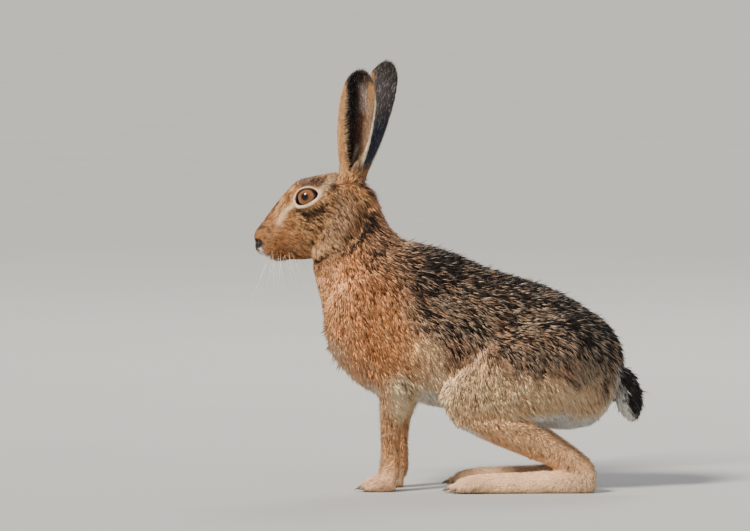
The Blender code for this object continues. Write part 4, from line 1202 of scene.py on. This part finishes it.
# Whiskers are long, tapering, slightly bowed white bristles, tan at the root, that leave the pad of the
# upper lip in five rows. A few short dark ones stand over each eye.
WHISKER_SEED = 40
WHISKER_COUNT = 24
WHISKER_ROWS = 5
WHISKER_SAG = 0.16
WHISKER_RADIUS = 0.17
ROOT_LENGTH = (9, 16)
BROW_COUNT = 6
BRISTLE_ROWS = 9
BRISTLE = coat_material("bristle", 0.35, 700.0, 0.08, 0.1)


def bristles(name, starts, directions, lengths, sag, radius, root_colour, tip_colour):
    """Tapered three-sided hairs that bow downwards, joined in one mesh."""
    points, triangles, colours, count = [], [], [], 0
    steps = np.linspace(0, 1, BRISTLE_ROWS)
    last = 3 * (BRISTLE_ROWS - 1)
    for start, way, length in zip(starts, unit(directions), lengths):
        line = start + np.outer(steps * length, way) + np.outer(steps**2 * length * sag, (0, 0, -1))
        aside = unit(np.cross(way, (0, 0, 1)))
        other = np.cross(way, aside)
        pale = blend(*ROOT_LENGTH, steps * length)
        for k, size in enumerate(radius * (1 - 0.85 * steps) * (0.4 + 0.6 * pale)):
            for a in (0, 2 * math.pi / 3, 4 * math.pi / 3):
                points.append(line[k] + size * (aside * math.cos(a) + other * math.sin(a)))
                colours.append(root_colour + (tip_colour - root_colour) * pale[k])
        triangles.append(grid_triangles(BRISTLE_ROWS, 3, BRISTLE_ROWS - 1) + count)
        triangles.append(np.array(((1, 0, 2), (last, last + 1, last + 2))) + count)
        count += last + 3
    obj = mesh_from(name, np.array(points), np.vstack(triangles), np.array(colours))
    obj.data.materials.append(BRISTLE)
    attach(obj, "root")


for word, side in SIDES:
    draw = np.random.default_rng(WHISKER_SEED + side)
    row = draw.integers(0, WHISKER_ROWS, WHISKER_COUNT)
    starts = np.stack([
        -93 + draw.uniform(0, 30, WHISKER_COUNT),
        side * (10.5 + draw.uniform(0, 2.5, WHISKER_COUNT)),
        234.5 + row * 2.6 + draw.uniform(-0.8, 0.8, WHISKER_COUNT),
    ], 1)
    ways_out = np.stack([
        draw.uniform(-0.45, 0.60, WHISKER_COUNT),
        side * draw.uniform(0.2, 1.5, WHISKER_COUNT),
        draw.uniform(-1.1, -0.6, WHISKER_COUNT),
    ], 1)
    shape = (draw.uniform(26, 56, WHISKER_COUNT), WHISKER_SAG, WHISKER_RADIUS)
    bristles(f"whiskers_{word}", bent(starts), turned(ways_out), *shape, FACE_RUST, WHITE)
    starts = np.linspace((-58, side * 19.0, 305.5), (-40, side * 19.0, 305.5), BROW_COUNT)
    ways_out = np.linspace((-0.5, side * 0.5, 0.9), (0.1, side * 0.5, 0.9), BROW_COUNT)
    shape = (draw.uniform(12, 20, BROW_COUNT), 0.1, 0.2)
    bristles(f"brow_hairs_{word}", bent(starts), turned(ways_out), *shape, FACE_DARK, FACE_DARK)


# Each toe ends in a short, dark, slightly curved claw of horn, which grows out of the toe and shows beyond
# the hair. The toes are given by their place across the foot and by where they end along the hare.
FORE_TOES = ((-8.2, -79), (-2.9, -83.5), (2.9, -83.5), (8.2, -79.5))
HIND_TOES = ((-11, 12), (-3.9, 4.5), (3.9, 3.5), (11, 11))
RIGHT_FORELEG_BACK = 8.0
LENGTH_MIDDLE = 4.2
CLAW_LENGTH = 9.0
CLAW_HEIGHT = 5.4
CLAW_DROP = 3.4
CLAW_RADIUS = 1.55
CLAW_ROWS = 9
CLAW_COLUMNS = 12
HORN = plain_grain("claw horn", tuple(paint(58, 46, 38)), 0.35, 1500.0, 0.3, 0.3, 0.0002)

for word, side in SIDES:
    back = RIGHT_FORELEG_BACK if side > 0 else 0.0
    for foot, middle, toes, shift in (("fore", 28.0, FORE_TOES, back), ("hind", 47.8, HIND_TOES, 0.0)):
        for number, (offset, tip) in enumerate(toes):
            start = np.array((tip + 4.0 + shift - LENGTH_MIDDLE, side * middle + offset * 1.1, CLAW_HEIGHT))
            steps = np.linspace(0, 1, CLAW_ROWS)
            bow = np.stack([-CLAW_LENGTH * steps, 0.05 * offset * steps, -CLAW_DROP * steps**1.6], 1)
            size = CLAW_RADIUS * (1 - steps) ** 0.7 + 0.08
            turn = np.linspace(0, 2 * math.pi, CLAW_COLUMNS, endpoint=False)
            ring = np.stack([0 * turn, 0.75 * np.cos(turn), np.sin(turn)], 1)
            rings = start + bow[:, None] + size[:, None, None] * ring
            claw = closed_rings(f"claw_{foot}_{word}_{number + 1}", rings)
            claw.data.materials.append(HORN)
            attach(claw, "root")
